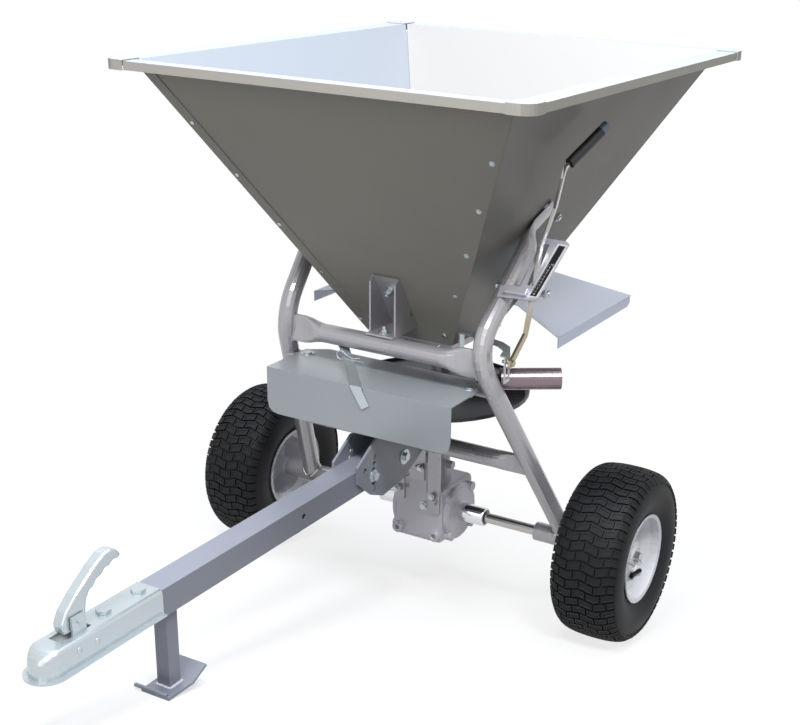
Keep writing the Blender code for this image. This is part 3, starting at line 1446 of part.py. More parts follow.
def build_lever():
    pivot = Vector((LEVER_X, LEVER_PIVOT_Y, LEVER_PIVOT_Z))
    pin = Vector((LEVER_X, PIN_Y, PIN_Z))
    along_lever = (pivot - pin).normalized()
    half = LEVER_SHEET / 2

    def bar(points, widths, name):
        sections = []
        for i, point in enumerate(points):
            ahead = (points[min(i + 1, len(points) - 1)] - points[max(i - 1, 0)]).normalized()
            across = ahead.cross(Vector((1, 0, 0))).normalized()
            side = across.cross(ahead).normalized()
            if side.x < 0:
                side.negate()
            wide = widths[i] / 2
            sections.append([
                point + across * wide + side * half, point - across * wide + side * half,
                point - across * wide - side * half, point + across * wide - side * half,
            ])
        return loft(name, sections, "lever", "steel", smooth=False)

    tail = pin - along_lever * 0.012
    lower = bar([tail, pin, Vector((LEVER_X, -0.178, 0.745)), pivot + Vector((0, -0.004, -0.010))],
                [0.010, LEVER_WIDTH, LEVER_WIDTH, 0.020], "shutter_lever")
    boss = rod("lever_boss", pivot - Vector((half, 0, 0)), pivot + Vector((half, 0, 0)), 0.013, "lever")
    upper = bar(
        [pivot, Vector((LEVER_X, -0.122, 0.925)), Vector((LEVER_X + 0.025, -0.112, 1.010)),
         Vector((GRIP_START.x - 0.013, -0.168, 1.088)), GRIP_START - (GRIP_END - GRIP_START) * 0.10,
         GRIP_START + (GRIP_END - GRIP_START) * 0.2, GRIP_START + (GRIP_END - GRIP_START) * 0.5],
        [LEVER_WIDTH, LEVER_WIDTH, 0.012, 0.012, 0.010, 0.010, 0.010], "lever_upper",
    )
    join(lower, boss, upper)
    bolt_hole = rod(
        "lever_hole", pivot - Vector((0.02, 0, 0)), pivot + Vector((0.02, 0, 0)), LEVER_BOLT_RADIUS + GAP,
        "lever",
    )
    cut(lower, bolt_hole)
    lug_outer = LEVER_X - LEVER_SHEET / 2 - 0.0045
    lever_pin = rod(
        "lever_pin", (lug_outer - 0.012, PIN_Y, PIN_Z), (LEVER_X + 0.004, PIN_Y, PIN_Z), PIN_RADIUS, "lever"
    )
    pin_head = rod(
        "pin_head", (LEVER_X + half - 0.001, PIN_Y, PIN_Z), (LEVER_X + half + 0.005, PIN_Y, PIN_Z), 0.0075,
        "lever", sides=6,
    )
    join(lower, lever_pin, pin_head)
    start, end = GRIP_START, GRIP_END
    grip = rod("lever_grip", start, end, 0.011, "lever", "black_grip", 24)
    cut(grip, rod("grip_bore", start - (end - start) * 0.1, start.lerp(end, 0.62), 0.0066, "lever"))
    x = LEVER_X + half
    inner, outer = POST_AT_PIVOT_X - 0.0201, POST_AT_PIVOT_X + 0.0277
    shank = rod("lever_bolt", (inner, pivot.y, pivot.z), (x + 0.036, pivot.y, pivot.z), LEVER_BOLT_RADIUS,
                finish="zinc")
    nut = rod("nut", (x + 0.027, pivot.y, pivot.z), (x + 0.034, pivot.y, pivot.z), 0.0085, sides=6)
    washer = rod("washer", (x + 0.025, pivot.y, pivot.z), (x + 0.0272, pivot.y, pivot.z), 0.0115)
    head = rod(
        "head", (inner - 0.006, pivot.y, pivot.z), (inner + 0.0005, pivot.y, pivot.z), 0.0085, sides=6
    )
    spacer = rod("spacer", (outer, pivot.y, pivot.z), (LEVER_X - half - GAP, pivot.y, pivot.z), 0.0095)
    join(shank, nut, washer, head, spacer)
    coil = []
    turns = 4
    for i in range(turns * 10 + 1):
        a = 2 * math.pi * i / 10
        coil.append((
            x + 0.0016 + (0.025 - 0.0032) * i / (turns * 10),
            pivot.y + 0.0085 * math.cos(a),
            pivot.z + 0.0085 * math.sin(a),
        ))
    wire("lever_spring", coil, 0.0012, "frame", "steel", 1)


build_hopper()
build_floor()
build_shutter()
build_frame()
build_axle()
build_gearbox()
build_spinner()
build_drawbar()
build_coupler()
build_guards()
build_gate()
build_lever()


def settle():
    """Moves the whole machine so that its outline stands on z = 0, centred on the origin."""
    graph = bpy.context.evaluated_depsgraph_get()
    points = []
    for obj in PARTS.objects:
        if obj.type == "EMPTY":
            continue
        shape = obj.evaluated_get(graph)
        mesh = shape.to_mesh()
        points.extend(shape.matrix_world @ vertex.co for vertex in mesh.vertices)
        shape.to_mesh_clear()
    low = [min(point[i] for point in points) for i in range(3)]
    high = [max(point[i] for point in points) for i in range(3)]
    chassis.location -= Vector(((low[0] + high[0]) / 2, (low[1] + high[1]) / 2, low[2]))
    bpy.context.view_layer.update()


settle()
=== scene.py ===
"""A towed broadcast spreader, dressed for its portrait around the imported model."""
import json
import math

import bmesh
import bpy
from mathutils import Matrix, Vector


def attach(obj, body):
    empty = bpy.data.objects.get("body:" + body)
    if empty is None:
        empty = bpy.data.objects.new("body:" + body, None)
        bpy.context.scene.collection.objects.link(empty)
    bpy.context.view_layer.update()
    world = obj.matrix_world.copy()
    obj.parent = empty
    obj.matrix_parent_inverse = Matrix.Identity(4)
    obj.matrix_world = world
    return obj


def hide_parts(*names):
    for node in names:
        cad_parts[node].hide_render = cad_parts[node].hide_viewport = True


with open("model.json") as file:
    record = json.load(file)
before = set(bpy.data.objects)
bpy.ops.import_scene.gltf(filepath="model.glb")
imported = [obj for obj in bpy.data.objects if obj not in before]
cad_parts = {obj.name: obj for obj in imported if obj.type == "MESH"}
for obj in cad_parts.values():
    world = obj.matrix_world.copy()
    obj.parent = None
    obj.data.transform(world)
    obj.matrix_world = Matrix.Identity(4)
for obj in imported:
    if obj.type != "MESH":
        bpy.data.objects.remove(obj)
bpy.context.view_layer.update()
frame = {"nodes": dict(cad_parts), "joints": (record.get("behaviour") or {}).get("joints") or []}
nodes = frame["nodes"]

# The machine's own level frame. The parked spreader tips forward on its leg, so every size below is
# given level, with the axle along X at Y = 0 and Z up, and is tipped with the machine once made.
joints = {joint["name"]: joint for joint in frame["joints"]}
mast = Vector(joints["spinner_spin"]["axis"]).normalized()
axle_point = Vector(joints["axle_spin"]["pos_m"])
WHEEL_RADIUS = 0.2032
tip = Matrix((Vector((1, 0, 0)), mast.cross(Vector((1, 0, 0))), mast)).transposed().to_4x4()
tip.translation = axle_point - tip.to_3x3() @ Vector((0, 0, WHEEL_RADIUS))

# Photographer's camera, a short telephoto at chest height in front of the drawbar's right side. Its
# optical centre lies off the middle of the picture, as in one that was cropped.
PICTURE_WIDTH, PICTURE_HEIGHT = 800, 725
FOCAL_PIXELS = 1370.1
OPTICAL_CENTRE = (487.1, 401.8)
LOOK_AT = Vector((0.042, 0.183, 0.422))
CAMERA_DISTANCE = 3.429
azimuth, height, roll = (math.radians(angle) for angle in (28.007, 20.646, 1.820))
away = Vector((
    math.sin(azimuth) * math.cos(height), -math.cos(azimuth) * math.cos(height), math.sin(height),
))
right = Vector((math.cos(azimuth), math.sin(azimuth), 0.0))
above = away.cross(right)
camera_right = right * math.cos(roll) + above * math.sin(roll)
camera_up = above * math.cos(roll) - right * math.sin(roll)
stand = Matrix((camera_right, camera_up, away)).transposed().to_4x4()
stand.translation = LOOK_AT + away * CAMERA_DISTANCE
lens = bpy.data.cameras.new("camera")
lens.sensor_width = 36.0
lens.lens = FOCAL_PIXELS / PICTURE_WIDTH * lens.sensor_width
lens.shift_x = (PICTURE_WIDTH / 2 - OPTICAL_CENTRE[0]) / PICTURE_WIDTH
lens.shift_y = (OPTICAL_CENTRE[1] - PICTURE_HEIGHT / 2) / PICTURE_WIDTH
lens.clip_end = 60
camera = bpy.data.objects.new("camera", lens)
camera.matrix_world = tip @ stand
bpy.context.scene.collection.objects.link(camera)
bpy.context.scene.camera = camera


# Studio: a pale floor, a big soft lamp overhead, two high at the front and right and a weak
# one low at the front. Surfaces that face the lamps come out at about their own colour.
class Value:
    """One output of a shader node. Arithmetic on it adds Math nodes to the same material."""

    def __init__(self, finish, socket):
        self.finish = finish
        self.socket = socket

    def maths(self, operation, *values, clamp=False):
        settings = {"operation": operation, "use_clamp": clamp}
        return self.finish.node("ShaderNodeMath", settings, *values)

    def __add__(self, other):
        return self.maths("ADD", self, other)

    def __sub__(self, other):
        return self.maths("SUBTRACT", self, other)

    def __mul__(self, other):
        return self.maths("MULTIPLY", self, other)

    def __gt__(self, other):
        return self.maths("GREATER_THAN", self, other)

    def clamped(self):
        return self.maths("ADD", self, 0.0, clamp=True)


class Finish:
    """A material or world under construction: node() adds any node and gives its outputs back."""

    def __init__(self, owner):
        self.owner = owner
        owner.use_nodes = True
        self.tree = owner.node_tree

    def node(self, kind, settings=None, *inputs, out=0, **named):
        made = self.tree.nodes.new(kind)
        for key, value in (settings or {}).items():
            setattr(made, key, value)
        for key, value in [*enumerate(inputs), *named.items()]:
            self.feed(made.inputs[key], value)
        return Value(self, made.outputs[out])

    def feed(self, socket, value):
        if isinstance(value, Value):
            self.tree.links.new(value.socket, socket)
        else:
            socket.default_value = value

    def mix(self, share, first, second):
        made = self.node(
            "ShaderNodeMix", {"data_type": "RGBA", "clamp_factor": True}, share, out=2
        )
        self.feed(made.socket.node.inputs[6], first)
        self.feed(made.socket.node.inputs[7], second)
        return made


def rgb(red, green, blue):
    """A colour read off a screen, 0 to 255, turned into the renderer's light values."""
    light = [
        ((c / 255 + 0.055) / 1.055) ** 2.4 if c > 10 else c / 3294.6 for c in (red, green, blue)
    ]
    return (*light, 1.0)


def directly_seen(finish):
    """One for what the camera sees, also by a mirror or through glass, and zero for other light."""
    path = finish.node("ShaderNodeLightPath")
    rays = path.socket.node.outputs
    by_mirror, by_glass = rays["Is Glossy Ray"], rays["Is Transmission Ray"]
    return (path + Value(finish, by_mirror) + Value(finish, by_glass)).clamped()


floor_finish = Finish(bpy.data.materials.new("studio_floor"))
seen = directly_seen(floor_finish)
floor_shader = floor_finish.tree.nodes["Principled BSDF"]
floor_shader.inputs["Roughness"].default_value = 1.0
floor_shader.inputs["Specular IOR Level"].default_value = 0.0
floor_finish.feed(
    floor_shader.inputs["Base Color"],
    floor_finish.mix(seen, (0.17, 0.16, 0.155, 1.0), (0.97, 0.97, 0.97, 1.0)),
)
place = floor_finish.node("ShaderNodeTexCoord", out=3)
centred = floor_finish.node(
    "ShaderNodeMapping", None, place, Location=(0, 0.1, 0), Scale=(0.4, 0.4, 0.4)
)
distance = floor_finish.node("ShaderNodeVectorMath", {"operation": "LENGTH"}, centred, out=1)
plain_white = floor_finish.node("ShaderNodeEmission", None, (1, 1, 1, 1), 1.0)
blend = floor_finish.node(
    "ShaderNodeMixShader", None, seen * (distance * 0.5 + 0.62).clamped(),
    Value(floor_finish, floor_shader.outputs[0]), plain_white,
)
floor_finish.feed(floor_finish.tree.nodes["Material Output"].inputs["Surface"], blend)
bpy.ops.object.select_all(action="DESELECT")
bpy.ops.mesh.primitive_plane_add(size=60, location=(0, 0, -0.0005))
floor = bpy.context.object
floor.name = "studio_floor"
floor.data.materials.append(floor_finish.owner)

world = bpy.data.worlds.new("studio_light")
bpy.context.scene.world = world
sky = Finish(world)
seen_sky = directly_seen(sky)
backdrop = sky.tree.nodes["Background"]
sky.feed(backdrop.inputs["Color"], sky.mix(seen_sky, (0.80, 0.88, 1.0, 1.0), (1.0, 1.0, 1.0, 1.0)))
sky.feed(backdrop.inputs["Strength"], seen_sky * 0.85 + 0.15)
LAMPS_AIM = Vector((0, 0.1, 0.5))
for name, place, size, power, colour in (
    ("overhead_lamp", (-0.3, -0.2, 4.4), 3.4, 210, (0.78, 0.89, 1.0)),
    ("high_front_lamp", (0.6, -3.0, 4.3), 1.3, 150, (0.97, 0.98, 1.0)),
    ("high_right_lamp", (2.5, -2.4, 4.2), 1.0, 140, (0.97, 0.98, 1.0)),
    ("front_lamp", (0.4, -4.4, 1.9), 2.4, 30, (1.0, 0.98, 0.95)),
):
    lamp = bpy.data.lights.new(name, "AREA")
    lamp.size = size
    lamp.energy = power
    lamp.color = colour
    holder = bpy.data.objects.new(name, lamp)
    holder.location = place
    beam = LAMPS_AIM - Vector(place)
    holder.rotation_euler = beam.to_track_quat("-Z", "Y").to_euler()
    bpy.context.scene.collection.objects.link(holder)


# Frame: bent side posts, cross tubes and axle housings of mild steel tube, welded up, with the
# hopper's bracket and floor and the gearbox's straps bolted on. All are sprayed a satin metallic
# silver with a faint orange peel, a little darker where dust and grease have settled.
def metal_paint(name, colour, roughness, metallic, coat=0.0, peel=0.02, drift=0.10):
    """Sprayed metal: a fine flake, a soft drift in tone and a low orange peel."""
    finish = Finish(bpy.data.materials.new(name))
    shader = finish.tree.nodes["Principled BSDF"]
    where = finish.node("ShaderNodeTexCoord", out=3)
    cloud = finish.node("ShaderNodeTexNoise", None, where, Scale=5.0, Detail=4.0)
    flake = finish.node("ShaderNodeTexNoise", None, where, Scale=900.0, Detail=1.0)
    ripple = finish.node("ShaderNodeTexNoise", None, where, Scale=160.0, Detail=2.0)
    darker = (*(c * (1 - drift) for c in colour[:3]), 1.0)
    lighter = (*(min(1.0, c * (1 + drift)) for c in colour[:3]), 1.0)
    finish.feed(
        shader.inputs["Base Color"],
        finish.mix((cloud * 0.8 + flake * 0.5 - 0.15).clamped(), darker, lighter),
    )
    finish.feed(shader.inputs["Roughness"], cloud * 0.14 + (roughness - 0.07))
    finish.feed(
        shader.inputs["Normal"],
        finish.node("ShaderNodeBump", None, Strength=peel, Distance=0.001, Height=ripple),
    )
    shader.inputs["Metallic"].default_value = metallic
    shader.inputs["Coat Weight"].default_value = coat
    shader.inputs["Coat Roughness"].default_value = 0.25
    return finish


def dress(material, *names):
    """Gives CAD nodes this material."""
    for name in names:
        nodes[name].data.materials.clear()
        nodes[name].data.materials.append(material)


frame_paint = metal_paint("satin_silver_frame", rgb(184, 182, 186), 0.28, 0.36, 0.3)
dress(
    frame_paint.owner, "side_post_left", "side_post_right", "front_cross_tube", "lower_cross_tube",
    "axle_housing_left", "axle_housing_right", "hopper_bracket", "gearbox_strap_centre",
    "gearbox_strap_left", "gearbox_strap_right", "hopper_floor",
)

# Drawbar: a square steel tube bolted between two punched cheek plates, with the parking leg welded
# under it. It has a darker, bluer copy of the frame's silver: painted shade for the shade under the
# guard, with a painted cool reflection of the overhead light.
drawbar_painted_shade_silver = metal_paint("satin_silver_drawbar_painted_shade", rgb(138, 141, 153), 0.34, 0.16, 0.12)
dress(
    drawbar_painted_shade_silver.owner, "drawbar_tube", "drawbar_plate_left", "drawbar_plate_right", "parking_leg",
)

# Stay tube: a short open tube welded behind the right post, in a darker and warmer silver than
# the frame's.
stay_paint = metal_paint("dull_silver_stub", rgb(140, 124, 130), 0.28, 0.55, 0.2)
dress(stay_paint.owner, "side_stay_tube")

# Gate plate and stop: a slotted steel plate folded round the right post, and the stop that slides
# in its slot. They are sprayed apart from the frame, in a paler silver.
plate_paint = metal_paint("pale_silver_plate", rgb(222, 222, 232), 0.30, 0.30, 0.2)
dress(plate_paint.owner, "gate_plate", "gate_stop")

# Guards: sheet steel, folded and cut. The front one is bolted over the drawbar's cheeks, and the
# rear one hangs by a lip on the hopper's rear sheet. The rear one's silver is painted paler and
# bluer, a painted reflection of the overhead light on its top.
guard_paint = metal_paint("satin_silver_guard", rgb(162, 167, 172), 0.32, 0.26, 0.2)
dress(guard_paint.owner, "front_guard")
# The rear guard's pale blue is a painted reflection of the overhead light.
rear_guard_painted_reflection_silver = metal_paint("satin_silver_rear_guard_painted_reflection", rgb(204, 213, 232), 0.32, 0.18, 0.2)
dress(rear_guard_painted_reflection_silver.owner, "rear_guard")


# Hopper: four sheets of thin steel, lapped and screwed at the corners, each with its rolled rim,
# and pressed caps over the rim's corners. Over its satin grey lie painted light and shade: a
# painted cool reflection of the overhead light where it looks up, a painted highlight inside the
# rear sheet and on the rim's front, and painted shade outside the two side sheets.
def lay_over(finish, share, colour):
    """Lays a second colour over part of a finish."""
    base = finish.tree.nodes["Principled BSDF"].inputs["Base Color"]
    under = Value(finish, base.links[0].from_socket)
    finish.feed(base, finish.mix(share, under, colour))


def tipped(way):
    """A level direction, as it stands once the machine is tipped."""
    return tip.to_3x3() @ Vector(way).normalized()


def along(finish, vector, way):
    """How far a vector runs along a level direction."""
    way = tuple(tipped(way))
    return finish.node("ShaderNodeVectorMath", {"operation": "DOT_PRODUCT"}, vector, way, out=1)


def faces(finish, way, least):
    """One where the surface looks along a level direction, by this cosine or more, else zero."""
    return along(finish, finish.node("ShaderNodeTexCoord", out=1), way) > least


hopper_paint = metal_paint("satin_grey_hopper_with_painted_light", rgb(163, 160, 151), 0.42, 0.05)
hopper_paint.tree.nodes["Principled BSDF"].inputs["Specular IOR Level"].default_value = 0.22
UPWARD, INSIDE_REAR, RIM_FRONT = (0, 0, 1), (0, -0.81, 0.59), (0, -1, 0)
OUTSIDE_RIGHT, OUTSIDE_LEFT = (0.88, 0, -0.47), (-0.88, 0, -0.47)
# Painted light and shade by the way each face looks: each tone below is a painted reflection,
# highlight or shade laid over the one grey paint.
for way, least, tone in (
    (UPWARD, 0.2, rgb(169, 173, 180)),
    (INSIDE_REAR, 0.9, rgb(175, 170, 166)),
    (OUTSIDE_RIGHT, 0.9, rgb(126, 123, 116)),
    (OUTSIDE_LEFT, 0.9, rgb(126, 123, 116)),
    (RIM_FRONT, 0.95, rgb(182, 178, 169)),
):
    lay_over(hopper_paint, faces(hopper_paint, way, least), tone)
dress(
    hopper_paint.owner, "hopper_front", "hopper_rear", "hopper_left", "hopper_right",
    "rim_cap_front_left", "rim_cap_front_right", "rim_cap_rear_left", "rim_cap_rear_right",
)

# Gearbox: a cast case whose turret carries the spindle, and two bolted covers with the axle's
# bearing necks. A soft lilac grey is painted over the rough skin of the casting.
cast_paint = metal_paint("cast_lilac_grey", rgb(226, 224, 231), 0.42, 0.12, 0.15, 0.12, 0.06)
dress(cast_paint.owner, "gearbox_case", "gearbox_cover_left", "gearbox_cover_right")

# Plated pieces: the coupler's pressed body, handle and clamp, the bolts, the adjuster strap and
# the shutter slide are steel with bright zinc, which is cool and a little clouded.
zinc = metal_paint("bright_zinc", rgb(190, 198, 202), 0.24, 0.70, 0.0, 0.01, 0.14)
dress(
    zinc.owner, "coupler_body", "coupler_handle", "ball_clamp", "coupler_bolt_front",
    "coupler_bolt_rear", "drawbar_pivot_bolt", "drawbar_lock_bolt", "guard_bolt_left",
    "guard_bolt_right", "lever_bolt", "adjuster_strap", "shutter_slide",
)

# Shafts: the axle, its bushes, the spindle with its agitator and the lever's spring are plain
# drawn steel, turned where they run in bearings.
steel = metal_paint("plain_steel", rgb(180, 178, 176), 0.26, 0.95, 0.0, 0.01, 0.1)
dress(
    steel.owner, "axle_shaft", "axle_bush_left", "axle_bush_right", "spindle", "agitator",
    "lever_spring",
)

# Spinner disc: a pressed steel disc with a hub and four upright vanes, which throw the grains out.
# It is fixed on the spindle above the gearbox and sprayed black.
black = metal_paint("black_disc", rgb(52, 52, 56), 0.42, 0.3, 0.1)
dress(black.owner, "spinner_disc")

# Wheel rims: dished steel pressings with the tyre's bead seats rolled in, welded round a hub tube
# and stoved in white enamel.
white = metal_paint("white_rim", rgb(244, 244, 248), 0.28, 0.0, 0.4, 0.01, 0.02)
dress(white.owner, "wheel_rim_left", "wheel_rim_right")


# Tyres: two turf tyres of moulded black rubber on a bias carcass. Wavy courses of blocks run across
# the tread like brickwork, about 5 mm proud, with a row of small lugs on each shoulder, and the
# sidewalls are smooth with a moulded ring near the bead.
def choose(piece, test):
    """In edit mode, selects only the faces whose middle and normal pass the test."""
    bpy.ops.mesh.select_mode(type="FACE")
    bpy.ops.mesh.select_all(action="DESELECT")
    shape = bmesh.from_edit_mesh(piece.data)
    for face in shape.faces:
        face.select_set(bool(test(face.calc_center_median(), face.normal)))
    bmesh.update_edit_mesh(piece.data)


def let_go():
    """Ends edit mode where it is on, and selects nothing."""
    if bpy.context.object and bpy.context.object.mode != "OBJECT":
        bpy.ops.object.mode_set(mode="OBJECT")
    bpy.ops.object.select_all(action="DESELECT")


def edit(piece, on=True):
    """Makes the piece alone active, in edit mode or out of it."""
    let_go()
    piece.select_set(True)
    bpy.context.view_layer.objects.active = piece
    if on:
        bpy.ops.object.mode_set(mode="EDIT")


def begin(name, kind, **settings):
    """Adds one primitive, alone in the selection, and names it."""
    let_go()
    getattr(bpy.ops.mesh, f"primitive_{kind}_add")(**settings)
    bpy.context.object.name = name
    return bpy.context.object


def traced(name, points):
    """A closed line of edges through the points."""
    line = begin(name, "circle", vertices=len(points), radius=0.1)
    for vertex, point in zip(line.data.vertices, points):
        vertex.co = point
    return line


def assemble(piece, body, material, smooth, replaces=()):
    """Finishes a piece's mesh, tips it with the machine and fixes it to its body."""
    edit(piece, False)
    if piece.type != "MESH":
        bpy.ops.object.convert(target="MESH")
        piece = bpy.context.object
    for modifier in list(piece.modifiers):
        bpy.ops.object.modifier_apply(modifier=modifier.name)
    piece.data.transform(tip @ piece.matrix_world)
    piece.matrix_world = Matrix.Identity(4)
    piece.data.materials.clear()
    piece.data.materials.append(material)
    if smooth:
        bpy.ops.object.shade_smooth_by_angle(angle=math.radians(smooth))
    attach(piece, body)
    if replaces:
        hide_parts(*replaces)


TRACK = 0.974
COURSES = 58
GROOVE_SHARE = 0.20
CARCASS_RADIUS, TREAD_RADIUS, TREAD_HALF_WIDTH = 0.155, 0.170, 0.077
BLOCK_CUTS = {
    1: ((0.0150, 0.0180), (0.0485, 0.0515)),
    3: ((-0.0010, 0.0015), (0.0320, 0.0350), (0.0600, 0.0625)),
}
WAVE_LENGTH, WAVE_SWING, WAVE_FADE = 0.067, 0.022, 0.030
outer_half = [
    (0.0015, 0.1983), (0.0150, 0.1981), (0.0180, 0.1980), (0.0320, 0.1972), (0.0350, 0.1969),
    (0.0485, 0.1950), (0.0515, 0.1945), (0.0600, 0.1920), (0.0625, 0.1908), (0.0700, 0.1852),
    (0.0760, 0.1772), (0.0795, 0.1680), (0.0813, 0.1550), (0.0805, 0.1420), (0.0770, 0.1290),
    (0.0735, 0.1215), (0.0725, 0.1190), (0.0700, 0.1150), (0.0672, 0.1080), (0.0664, 0.1046),
    (0.0652, 0.1040), (0.0652, 0.0985),
]
inner_half = [
    (0.0520, 0.0985), (0.0610, 0.1150), (0.0700, 0.1400), (0.0710, 0.1700), (0.0560, 0.1870),
]
right_half = outer_half + inner_half
section = right_half + [(-x, r) for x, r in reversed(right_half)]
tyre = traced("turf_tyre_right", [(across, 0, out) for across, out in section])
edit(tyre)
bpy.ops.mesh.select_all(action="SELECT")
bpy.ops.mesh.spin(steps=COURSES * 2, angle=math.tau, center=(0, 0, 0), axis=(1, 0, 0))
bpy.ops.mesh.select_all(action="SELECT")
bpy.ops.mesh.remove_doubles(threshold=0.00005)
bpy.ops.mesh.normals_make_consistent(inside=False)


def tread(middle, normal):
    """The faces of the blocks: every second cell round the tyre, cut at staggered places across."""
    out = math.hypot(middle.y, middle.z)
    across = abs(middle.x)
    inside = normal.dot(Vector((0, middle.y, middle.z))) < 0
    cell = math.floor((math.atan2(middle.y, middle.z) % math.tau) / math.tau * COURSES * 2)
    if out < TREAD_RADIUS or across > TREAD_HALF_WIDTH or inside or cell % 2 == 0:
        return False
    return not any(low < across < high for low, high in BLOCK_CUTS[cell % 4])


choose(tyre, tread)
bpy.ops.object.mode_set(mode="OBJECT")
for vertex in tyre.data.vertices:
    out = math.hypot(vertex.co.y, vertex.co.z)
    if out > CARCASS_RADIUS:
        step = round(math.atan2(vertex.co.y, vertex.co.z) / math.tau * COURSES * 2)
        course = step // 2 + (GROOVE_SHARE if step % 2 else 0)
        wave = abs(((vertex.co.x / WAVE_LENGTH) % 1.0) - 0.5) * 4 - 1
        swing = WAVE_SWING * wave * min(1.0, (out - CARCASS_RADIUS) / WAVE_FADE)
        angle = course / COURSES * math.tau + swing
        vertex.co.y, vertex.co.z = out * math.sin(angle), out * math.cos(angle)
bpy.ops.object.mode_set(mode="EDIT")
BLOCK_STEPS = ((0.0006, 0.0048, False), (0.0030, 0.0, True), (0.0007, -0.0014, True))
for inward, raised, even in BLOCK_STEPS:
    bpy.ops.mesh.inset(thickness=inward, depth=raised, use_boundary=True, use_even_offset=even)
bpy.ops.object.mode_set(mode="OBJECT")
tyre.location = (TRACK / 2, 0, WHEEL_RADIUS)
bpy.context.view_layer.update()
other = tyre.copy()
other.data = tyre.data.copy()
other.name = "turf_tyre_left"
bpy.context.scene.collection.objects.link(other)
other.location = (-TRACK / 2, 0, WHEEL_RADIUS)
other.rotation_euler = (0, 0, math.pi)
bpy.context.view_layer.update()

rubber = Finish(bpy.data.materials.new("tyre_rubber"))
shader = rubber.tree.nodes["Principled BSDF"]
where = rubber.node("ShaderNodeTexCoord", out=3)
dust = rubber.node("ShaderNodeTexNoise", None, where, Scale=14.0, Detail=6.0)
grain = rubber.node("ShaderNodeTexNoise", None, where, Scale=420.0, Detail=2.0)
rubber.feed(
    shader.inputs["Base Color"],
    rubber.mix((dust * 1.6 - 0.45).clamped(), rgb(11, 11, 13), rgb(27, 29, 33)),
)
rubber.feed(shader.inputs["Roughness"], dust * 0.22 + 0.50)
shader.inputs["Specular IOR Level"].default_value = 0.28
rubber.feed(
    shader.inputs["Normal"],
    rubber.node("ShaderNodeBump", None, Strength=0.25, Distance=0.0006, Height=grain),
)
assemble(tyre, "drive_axle", rubber.owner, 28, ["tyre_right"])
assemble(other, "left_wheel", rubber.owner, 28, ["tyre_left"])


# Fixings on the hopper: zinc-plated hexagon screws, whose heads close the lapped corner seams front
# and back, hold the skirt round the outlet and bolt the hopper's sides to the posts.
def merged(name, *shapes):
    """Makes one object of shapes that are fixed together for good."""
    edit(shapes[0], False)
    for shape in shapes:
        shape.select_set(True)
    if len(shapes) > 1:
        bpy.ops.object.join()
    shapes[0].name = name
    return shapes[0]


def chamfered(name, sides, radius, low, high, edge):
    """A bar standing on Z, with its upper edge chamfered."""
    bar = begin(
        name, "cylinder", vertices=sides, radius=radius, depth=high - edge - low,
        location=(0, 0, (low + high - edge) / 2),
    )
    bpy.ops.object.transform_apply(location=True, rotation=False, scale=False)
    edit(bar)
    choose(bar, lambda middle, normal: normal.z > 0.9)
    bpy.ops.mesh.inset(thickness=edge)
    bpy.ops.transform.translate(value=(0, 0, edge))
    bpy.ops.object.mode_set(mode="OBJECT")
    return bar


def hexagon(name, flats, height, washer, stud=0.0):
    """A bolt head or nut on its washer, with the bolt's end standing out of a nut."""
    shapes = [
        chamfered(name, 6, flats / 2 / math.cos(math.pi / 6), 0.0, height, flats * 0.07),
        chamfered("washer", 28, washer / 2, -0.0004, 0.0018, 0.0004),
    ]
    if stud:
        shapes.append(chamfered("stud", 20, flats * 0.30, 0.0, height + stud, 0.0009))
    return merged(name, *shapes)


def stamp(model, name, places):
    """Copies a model to each (point, outward way) and joins the copies."""
    copies = []
    for point, way in places:
        made = model.copy()
        made.data = model.data.copy()
        bpy.context.scene.collection.objects.link(made)
        turn = Vector(way).to_track_quat("Z", "Y").to_matrix().to_4x4()
        made.matrix_world = Matrix.Translation(point) @ turn
        copies.append(made)
    bpy.context.view_layer.update()
    bpy.data.objects.remove(model)
    return merged(name, *copies)


def both_sides(*places):
    """Each place, and its mirror place on the other side of the machine."""
    return [
        (Vector((side * point[0], *point[1:])), Vector((side * way[0], *way[1:])))
        for point, way in places for side in (1, -1)
    ]


def fasten(piece):
    """Fixes a zinc-plated fastener to the frame."""
    assemble(piece, "frame", zinc.owner, 30)


SIDE_OUT, FRONT_OUT, REAR_OUT = (0.882, 0, -0.4715), (0, -0.857, -0.514), (0, 0.808, -0.589)
OUTLET_HEIGHT, SKIRT_HEIGHT = 0.667, 0.657
FRONT_FOOT, FRONT_SLOPE = -0.123, -0.5992
REAR_FOOT, REAR_SLOPE = 0.113, 0.7298
SEAM_X_Z = [
    (-0.355, 1.152), (-0.296, 1.039), (-0.238, 0.927), (-0.177, 0.812), (-0.118, 0.697),
    (0.353, 1.148), (0.292, 1.037), (0.229, 0.924), (0.166, 0.810), (0.101, 0.695),
]
seam_places = []
for x, z in SEAM_X_Z:
    rise = z - OUTLET_HEIGHT
    seam_places.append(((x, FRONT_FOOT + FRONT_SLOPE * rise, z), FRONT_OUT))
    seam_places.append(((x, REAR_FOOT + REAR_SLOPE * rise, z), REAR_OUT))
seam_screw = hexagon("seam_screw", 0.0088, 0.0042, 0.0125)
fasten(stamp(seam_screw, "hopper_seam_screws", seam_places))
skirt_screw = hexagon("skirt_screw", 0.0075, 0.0036, 0.0110)
fasten(stamp(skirt_screw, "skirt_screws", [((x, y, SKIRT_HEIGHT), way) for x, y, way in (
    (-0.010, -0.122, (0, -1, 0)), (0.076, -0.122, (0, -1, 0)), (0.1105, -0.080, (1, 0, 0)),
    (-0.1105, -0.080, (-1, 0, 0)), (0.0, 0.112, (0, 1, 0)),
)]))
side_bolt = hexagon("side_bolt", 0.0120, 0.0062, 0.0200)
fasten(stamp(side_bolt, "hopper_side_bolts", both_sides(
    ((0.258, 0.087, 0.939), SIDE_OUT), ((0.284, -0.031, 0.988), SIDE_OUT),
)))

